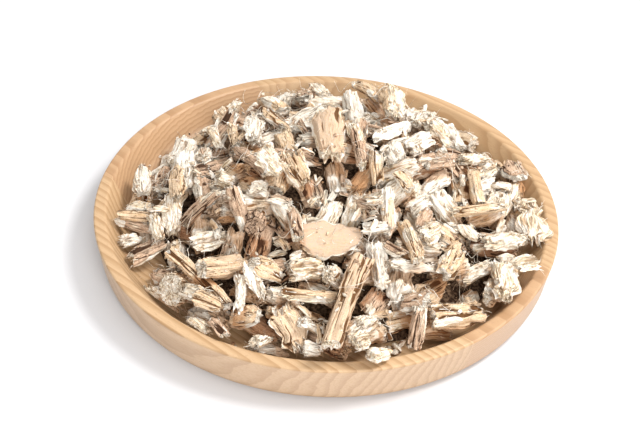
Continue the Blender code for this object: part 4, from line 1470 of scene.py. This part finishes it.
PLACED_SKIN_SEED = 4000
PLACED_STEP = 0.5
PLACED_CAP_RINGS = 4

draw = np.random.default_rng(PLACED_SEED)
placed_rests = []
for number, (kind, finish, length, width, thickness, x, y, bearing) in enumerate(PLACED_CHIPS):
    chip = Chip(kind, length * MM, width * MM, thickness * MM, draw.random(9))
    shell = chip_shell(chip, LOOSE_SIDES, PLACED_SPANS)
    place, turn = (x * MM, y * MM), math.radians(bearing)
    name = f"placed_{number}"
    rest = settle(field, chip, shell, place, turn, draw, PLACED_TRIALS, -PLACED_SINK, name, finish)
    placed_rests.append(rest)
print("smaller chips placed by hand:", len(placed_rests))

# %% Set how the small chips fall
SMALL_DROPS = 1000
SPOTS_PER_DROP = 6
SMALL_RADIUS = 77.0 * MM
SMALL_KINDS = {"stick": 0.15, "slab": 0.35, "shard": 0.50}
SMALL_LENGTHS = (2.5 * MM, 9.0 * MM)
SMALL_WIDTH_SHARES = (0.18, 0.60)
SMALL_FLATNESS = (0.35, 0.7)
SMALL_SINK = 0.7 * MM
SMALL_SIDES = 6
SMALL_SPANS = 1
SMALL_TRIALS = 4
SMALL_SEED = 91
SMALL_SKIN_SEED = 5000
SMALL_STEP = 0.65
SMALL_CAP_RINGS = 1
SMALL_SHARP = math.radians(28.0)
SMALL_CEILING = 48.0 * MM
# The chosen spot lies at least this deep below what lies this far from it.
LEAST_DEPTH = 0.6 * MM
SURROUNDINGS = 5.0 * MM
# A small chip is left out if it would stand this high above what lies round it, if this much air
# would be left under its corners on average, or if this share of it would hide the loose chips.
MOST_STANDING = 4.5 * MM
MOST_AIR = 3.4 * MM
MOST_HIDING = 0.30
print("small chips to drop:", SMALL_DROPS)

# %% Look at the loose chips from the camera
# The camera's view of the loose chips, in coarse cells: how near the nearest one is in each cell.
CELLS_ACROSS = 220
CAMERA_AXES = np.array(camera.matrix_basis.to_3x3())
nearest = np.full((2 * CELLS_ACROSS, 2 * CELLS_ACROSS), np.inf)


def seen_cells(rest, lines):
    """Where the camera sees a grid of a chip's surface points: picture cells and how far off they are."""
    along = np.linspace(-1.0, 1.0, lines)[:, None]
    angle = np.linspace(0.0, 2.0 * math.pi, lines)[None, :]
    points = chip_surface(rest.chip, along + 0.0 * angle, angle + 0.0 * along).reshape(-1, 3)
    seen = (points @ rest.turn.T + rest.place - np.array(camera.location)) @ CAMERA_AXES
    cells = (seen[:, :2] / -seen[:, 2:] * CELLS_ACROSS).astype(int) + CELLS_ACROSS
    return cells[:, 0], cells[:, 1], -seen[:, 2]


for rest in loose_rests:
    columns, rows, distance = seen_cells(rest, 40)
    np.minimum.at(nearest, (columns, rows), distance)
print("cells that show a loose chip:", int(np.isfinite(nearest).sum()))

# %% Pour the small chips


def scatter(rng, radius, count, centre=HEAP_CENTRE):
    """Spots spread evenly over a disc, and their angles.

    The distance from the centre is radius times the root of a random number, and the angle is random.
    """
    reach = radius * np.sqrt(rng.random(count))
    angle = rng.uniform(0.0, 2.0 * math.pi, count)
    x, y = centre[0] + reach * np.cos(angle), centre[1] + reach * np.sin(angle)
    return np.stack([x, y], axis=-1), angle


draw = np.random.default_rng(SMALL_SEED)
small_skins = {finish: Skins() for finish in ROOT_COLOURS}
for number, rest in enumerate(placed_rests):
    add_chip(small_skins[rest.finish], rest, PLACED_SKIN_SEED + number, PLACED_STEP, PLACED_CAP_RINGS)
small_rests = []
for number in range(SMALL_DROPS):
    spots, _ = scatter(draw, SMALL_RADIUS, SPOTS_PER_DROP)
    depth = height_around(spots, SURROUNDINGS) - field.ground(spots, field.top)
    spot = spots[np.argmax(depth)]
    if depth.max() < LEAST_DEPTH:
        continue
    kind = str(draw.choice(list(SMALL_KINDS), p=list(SMALL_KINDS.values())))
    length = SMALL_LENGTHS[0] + (SMALL_LENGTHS[1] - SMALL_LENGTHS[0]) * draw.random() ** 1.5
    width = length * draw.uniform(*SMALL_WIDTH_SHARES)
    chip = Chip(kind, length, width, width * draw.uniform(*SMALL_FLATNESS), draw.random(9))
    finish = draw_finish(spot[0], draw)
    shell = chip_shell(chip, SMALL_SIDES, SMALL_SPANS)
    heights_before = field.top.copy()
    around = field.ground(spot[None, :], field.top)[0] + depth.max()
    turn, name = draw.uniform(-math.pi, math.pi), f"small_{number}"
    rest = settle(field, chip, shell, spot, turn, draw, SMALL_TRIALS, -SMALL_SINK, name, finish)
    columns, rows, distance = seen_cells(rest, 8)
    behind = nearest[columns, rows]
    hidden = (behind < np.inf) & (distance < behind)
    top = rest.corners[:, 2].max()
    air = np.mean(rest.corners[:, 2] - field.ground(rest.corners, heights_before))
    if top > min(SMALL_CEILING, around + MOST_STANDING) or air > MOST_AIR or hidden.mean() > MOST_HIDING:
        field.top = heights_before
        continue
    small_rests.append(rest)
    add_chip(small_skins[finish], rest, SMALL_SKIN_SEED + number, SMALL_STEP, SMALL_CAP_RINGS)
for finish, skins in small_skins.items():
    name = "small_" + finish.replace("root_", "") + "_chips"
    piece = skins.piece(name, root_materials[finish], SMALL_SHARP)
print("small chips:", len(small_rests), "triangles so far:", sum(total_triangles))

# %% [markdown]
# ## Frayed ends, loose hairs and crumbs
#
# What makes the heap look dry and soft is the finest stuff: broken fibres that stick out of the
# chopped ends, curly hairs that lie over the chips, and crumbs. A fibre is a path with a thin
# three-sided tube round it. All fibres are worked out at once, as one array of paths.

# %% Carry thin tubes along many paths


def tubes(paths, radii, sides=3):
    """Closed tubes along N paths of M points: N skins of M rows, each row a ring round its point.

    A ring's points are centre + radius (cos angle u + sin angle v), where u and v are square to the
    path there. A pole closes each end.
    """
    tangent = np.gradient(paths, axis=1)
    tangent /= np.maximum(np.linalg.norm(tangent, axis=-1, keepdims=True), 1e-12)
    lead = np.where(np.abs(tangent[:, :1, 2:]) > 0.8, np.array([1.0, 0.0, 0.0]), np.array([0.0, 0.0, 1.0]))
    u = np.cross(tangent, lead)
    u /= np.maximum(np.linalg.norm(u, axis=-1, keepdims=True), 1e-12)
    v = np.cross(tangent, u)
    angle = np.linspace(0.0, 2.0 * math.pi, sides, endpoint=False)[None, None, :, None]
    ring = np.cos(angle) * u[:, :, None] + np.sin(angle) * v[:, :, None]
    rings = paths[:, :, None] + radii[:, :, None, None] * ring
    count = len(paths)
    points = np.concatenate([paths[:, :1], rings.reshape(count, -1, 3), paths[:, -1:]], axis=1)
    return points, *closed_faces(paths.shape[1], sides)


def fibre_values(points, tone):
    """Point values for fibres: no bark, no furrow, and a tone for each fibre."""
    flat = np.zeros(points.shape[:2])
    return {
        "bark": flat,
        "furrow": flat,
        "cut": flat,
        "tone": flat + tone[:, None],
        # deep: painted shade for fibres that lie deep in the heap.
        "deep": depth_in_heap(points.reshape(-1, 3)).reshape(flat.shape),
        "grain": points / MM,
    }


trial_path = np.array([[[0.0, 0.0, 0.0], [0.0, 0.0, 0.01], [0.0, 0.001, 0.02]]])
print("points on a tube along three points:", tubes(trial_path, np.full((1, 3), 0.0002))[0].shape[1])

# %% Set how fibres grow
FRAY_POINTS = 3
FRAY_LENGTHS = (0.4, 2.6)
FRAY_RADIUS = 0.19
FRAY_SEED = 7000
SLIVER_POINTS = 2
SLIVER_LENGTHS = (1.0, 4.0)
SLIVER_RADIUS = 0.19
SLIVER_SEED = 8000
# Fibres are many on flesh and few on bark. None of them reaches above the ceiling, which is just
# under the top of the highest chip, or stands higher than the rise over what lies under it.
WOOLLY = {"root_pale": 1.0, "root_tan": 0.55, "root_bark": 0.30}
CEILING = 49.5 * MM
FIBRE_RISE = 6.0 * MM
print("longest frayed fibre and splinter, in mm:", FRAY_LENGTHS[1], SLIVER_LENGTHS[1])

# %% Grow fibres from the chips


def fray_paths(rest, seed, count):
    """Fibres from a chip's two ends: each starts inside the end and bends away from the grain.

    A point is start + length (t forward + t^2 sideways) for t from 0 to 1.
    """
    rng = np.random.default_rng(seed)
    side = rng.choice([-1.0, 1.0], count)
    angle = rng.uniform(0.0, 2.0 * math.pi, count)
    rim = chip_surface(rest.chip, side, angle)
    turn = np.linspace(0, 2 * math.pi, 8)[None, :] + 0.0 * side[:, None]
    middle = chip_surface(rest.chip, side[:, None], turn).mean(axis=1)
    start = middle + (rim - middle) * np.sqrt(rng.uniform(0.1, 0.95, count))[:, None]
    start[:, 0] -= side * 1.2 * MM
    length = rng.uniform(*FRAY_LENGTHS, count) * MM + 1.0 * MM
    t = np.linspace(0.0, 1.0, FRAY_POINTS)[None, :, None]
    forward = np.stack([side, 0.25 * rng.normal(size=count), 0.25 * rng.normal(size=count)], axis=-1)
    sideways = rng.normal(0.0, 0.45, (count, 3)) * (0.3, 1.0, 1.0)
    path = start[:, None] + length[:, None, None] * (t * forward[:, None] + t ** 2 * sideways[:, None])
    return path @ rest.turn.T + rest.place


def sliver_paths(rest, seed, count):
    """Splinters that lie along a chip's upper side and lift off it at one end.

    A point is the surface's own point, moved away from the chip's middle line by a small gap that
    grows with the square of the way along the splinter.
    """
    rng = np.random.default_rng(seed)
    begin = rng.uniform(-0.95, 0.95, count)[:, None]
    reach = rng.uniform(*SLIVER_LENGTHS, count)[:, None] * MM / (0.5 * rest.chip.length)
    reach *= rng.choice([-1.0, 1.0], count)[:, None]
    t = np.linspace(0.0, 1.0, SLIVER_POINTS)[None, :]
    along = np.clip(begin + reach * t, -1.15, 1.15)
    angle = rng.uniform(0.02 * math.pi, 0.98 * math.pi, count)[:, None]
    angle = angle + rng.normal(0.0, 0.25, (count, 1)) * t
    rim = chip_surface(rest.chip, along, angle)
    under = chip_surface(rest.chip, along, angle + math.pi)
    out = rim - under
    out /= np.maximum(np.linalg.norm(out, axis=-1, keepdims=True), 1e-9)
    gap = (rng.uniform(-0.2, 0.2, count)[:, None] + rng.uniform(0.0, 0.9, count)[:, None] * t ** 2) * MM
    return (rim + out * gap[..., None]) @ rest.turn.T + rest.place


def fibre_piece(name, paths, radius, seed):
    """One piece of tubes along these paths, thinner towards their ends. Returns how many were kept."""
    above = paths[..., 2] - field.ground(paths.reshape(-1, 3), field.top).reshape(paths.shape[:2])
    paths = paths[(paths[..., 2].max(axis=1) < CEILING) & (above.max(axis=1) < FIBRE_RISE)]
    draw = np.random.default_rng(seed)
    taper = np.linspace(1.0, 0.25, paths.shape[1])[None, :]
    radii = radius * MM * draw.uniform(0.5, 1.3, len(paths))[:, None] * taper
    points, quads, triangles = tubes(paths, radii)
    skins = Skins()
    skins.add_many(points, quads, triangles, **fibre_values(points, draw.random(len(points))))
    piece = skins.piece(name, root_materials["root_pale"])
    return len(paths)


longest = max(loose_rests, key=lambda rest: rest.chip.length)
print("fibres on the longest chip:", fray_paths(longest, FRAY_SEED, 9).shape)

# %% Add frayed fibres and splinters
frayed, slivers = [], []
for number, rest in enumerate(loose_rests + placed_rests + layer_rests):
    look = {**SKINS[rest.chip.kind], **HAND_SKINS.get(rest.name, {})}
    if look["frays"]:
        share = WOOLLY[rest.finish]
        frayed.append(fray_paths(rest, FRAY_SEED + number, round(share * look["frays"])))
        slivers.append(sliver_paths(rest, SLIVER_SEED + number, round(share * look["slivers"])))
fray_count = fibre_piece("frayed_fibres", np.concatenate(frayed), FRAY_RADIUS, 8)
sliver_count = fibre_piece("lifted_splinters", np.concatenate(slivers), SLIVER_RADIUS, 9)
print("fibres:", fray_count, "splinters:", sliver_count, "triangles so far:", sum(total_triangles))

# %% Lay loose hairs over the heap
HAIRS = 260
HAIR_POINTS = 10
HAIR_LENGTHS = (3.0, 12.0)
HAIR_RADIUS = 0.10
HAIR_REACH = 74.0 * MM
HAIR_SEED = 12


def hair_paths(field, rng, count):
    """Curly paths that follow the heap.

    Steps of one length are added up while the heading swings. The height is the greatest height under
    the nearest few points, smoothed, plus an arch.
    """
    start, angle = scatter(rng, HAIR_REACH, count)
    length = rng.uniform(*HAIR_LENGTHS, count) * MM
    t = np.linspace(0.0, 1.0, HAIR_POINTS)[None, :]
    curl = rng.normal(0.0, 0.9, (count, 1)) * t
    curl = curl + rng.normal(0.0, 0.5, (count, 1)) * np.sin(6.3 * t + angle[:, None])
    heading = rng.uniform(0.0, 2.0 * math.pi, (count, 1)) + curl
    step = (length / (HAIR_POINTS - 1))[:, None]
    steps = np.stack([step * np.cos(heading), step * np.sin(heading)], axis=-1)
    flat = start[:, None] + np.cumsum(steps, axis=1)
    ground = field.ground(flat.reshape(-1, 2), field.wide()).reshape(count, HAIR_POINTS)
    for _ in range(2):
        ground = np.maximum(ground, np.maximum(np.roll(ground, 1, axis=1), np.roll(ground, -1, axis=1)))
    for _ in range(3):
        padded = np.pad(ground, ((0, 0), (1, 1)), mode="edge")
        ground = (padded[:, :-2] + padded[:, 1:-1] + padded[:, 2:]) / 3.0
    arch = np.abs(rng.normal(0.0, 0.45, (count, 1))) * np.sin(math.pi * t) * MM
    return np.concatenate([flat, (ground + arch + HAIR_RADIUS * MM)[..., None]], axis=-1)


draw = np.random.default_rng(HAIR_SEED)
hairs = hair_paths(field, draw, HAIRS)
hairs = hairs[hairs[..., 2].max(axis=1) < CEILING]
hair_taper = np.sin(np.linspace(0.25, math.pi - 0.15, HAIR_POINTS))[None, :] ** 0.5
radii = HAIR_RADIUS * MM * draw.uniform(0.6, 1.4, len(hairs))[:, None] * hair_taper
points, quads, triangles = tubes(hairs, radii)
hair_skins = Skins()
hair_skins.add_many(points, quads, triangles, **fibre_values(points, draw.random(len(hairs))))
hair_skins.piece("loose_hairs", root_materials["root_pale"])
print("hairs:", len(hairs), "triangles so far:", sum(total_triangles))

# %% Scatter crumbs
CRUMBS = 900
CRUMB_ROWS = 3
CRUMB_COLUMNS = 5
CRUMB_SIZES = (0.5, 1.9)
CRUMB_REACH = 80.0 * MM
CRUMB_SHARES = {"root_pale": 0.40, "root_tan": 0.35, "root_bark": 0.25}
CRUMB_SEED = 31


def crumb_points(rng, count):
    """Small lumps: points of a ball, each pushed in or out at random, stretched and turned."""
    polar = np.linspace(0.0, math.pi, CRUMB_ROWS + 2)[:, None]
    angle = np.linspace(0.0, 2.0 * math.pi, CRUMB_COLUMNS, endpoint=False)[None, :]
    sides = [np.sin(polar) * np.cos(angle), np.sin(polar) * np.sin(angle), np.cos(polar) + 0.0 * angle]
    ball = grid_points(np.stack(sides, axis=-1)[::-1])
    lumps = ball[None] * rng.uniform(0.55, 1.15, (count, len(ball), 1))
    lumps = lumps * rng.uniform(0.4, 1.0, (count, 1, 3))
    angles = rng.uniform(0.0, 2.0 * math.pi, (count, 3))
    turns = np.array([Euler(triple).to_matrix() for triple in angles])
    return np.einsum("nij,npj->npi", turns, lumps)


draw = np.random.default_rng(CRUMB_SEED)
spots, _ = scatter(draw, CRUMB_REACH, CRUMBS, (0.0, 0.0))
sizes = draw.uniform(*CRUMB_SIZES, CRUMBS) ** 1.4 * 0.5 * MM
lumps = crumb_points(draw, CRUMBS) * sizes[:, None, None]
rise = field.ground(spots, field.top) - 0.5 * lumps[..., 2].min(axis=1)
lumps += np.concatenate([spots, rise[:, None]], axis=-1)[:, None]
lumps = lumps[lumps[..., 2].max(axis=1) < CEILING]
quads, triangles = closed_faces(CRUMB_ROWS, CRUMB_COLUMNS)
groups = draw.choice(len(CRUMB_SHARES), len(lumps), p=list(CRUMB_SHARES.values()))
for group, finish in enumerate(CRUMB_SHARES):
    chosen = lumps[groups == group]
    values = fibre_values(chosen, draw.random(len(chosen)))
    values["bark"] = values["bark"] + (0.0 if finish == "root_pale" else 1.0)
    skins = Skins()
    skins.add_many(chosen, quads, triangles, **values)
    piece = skins.piece("crumbs_" + finish.replace("root_", ""), root_materials[finish])
print("crumbs:", len(lumps), "triangles in all:", sum(total_triangles))

# %% [markdown]
# ## The two boxes
#
# The dressed model must be the size of the solids, so both boxes are kept side by side.

# %% Keep both boxes
visual_low, visual_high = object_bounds()
sizes = {
    "cad": [list(cad_low), list(cad_high)],
    "visual": [list(visual_low), list(visual_high)],
}
print("box in mm:", [round(side / MM, 1) for side in visual_high - visual_low])
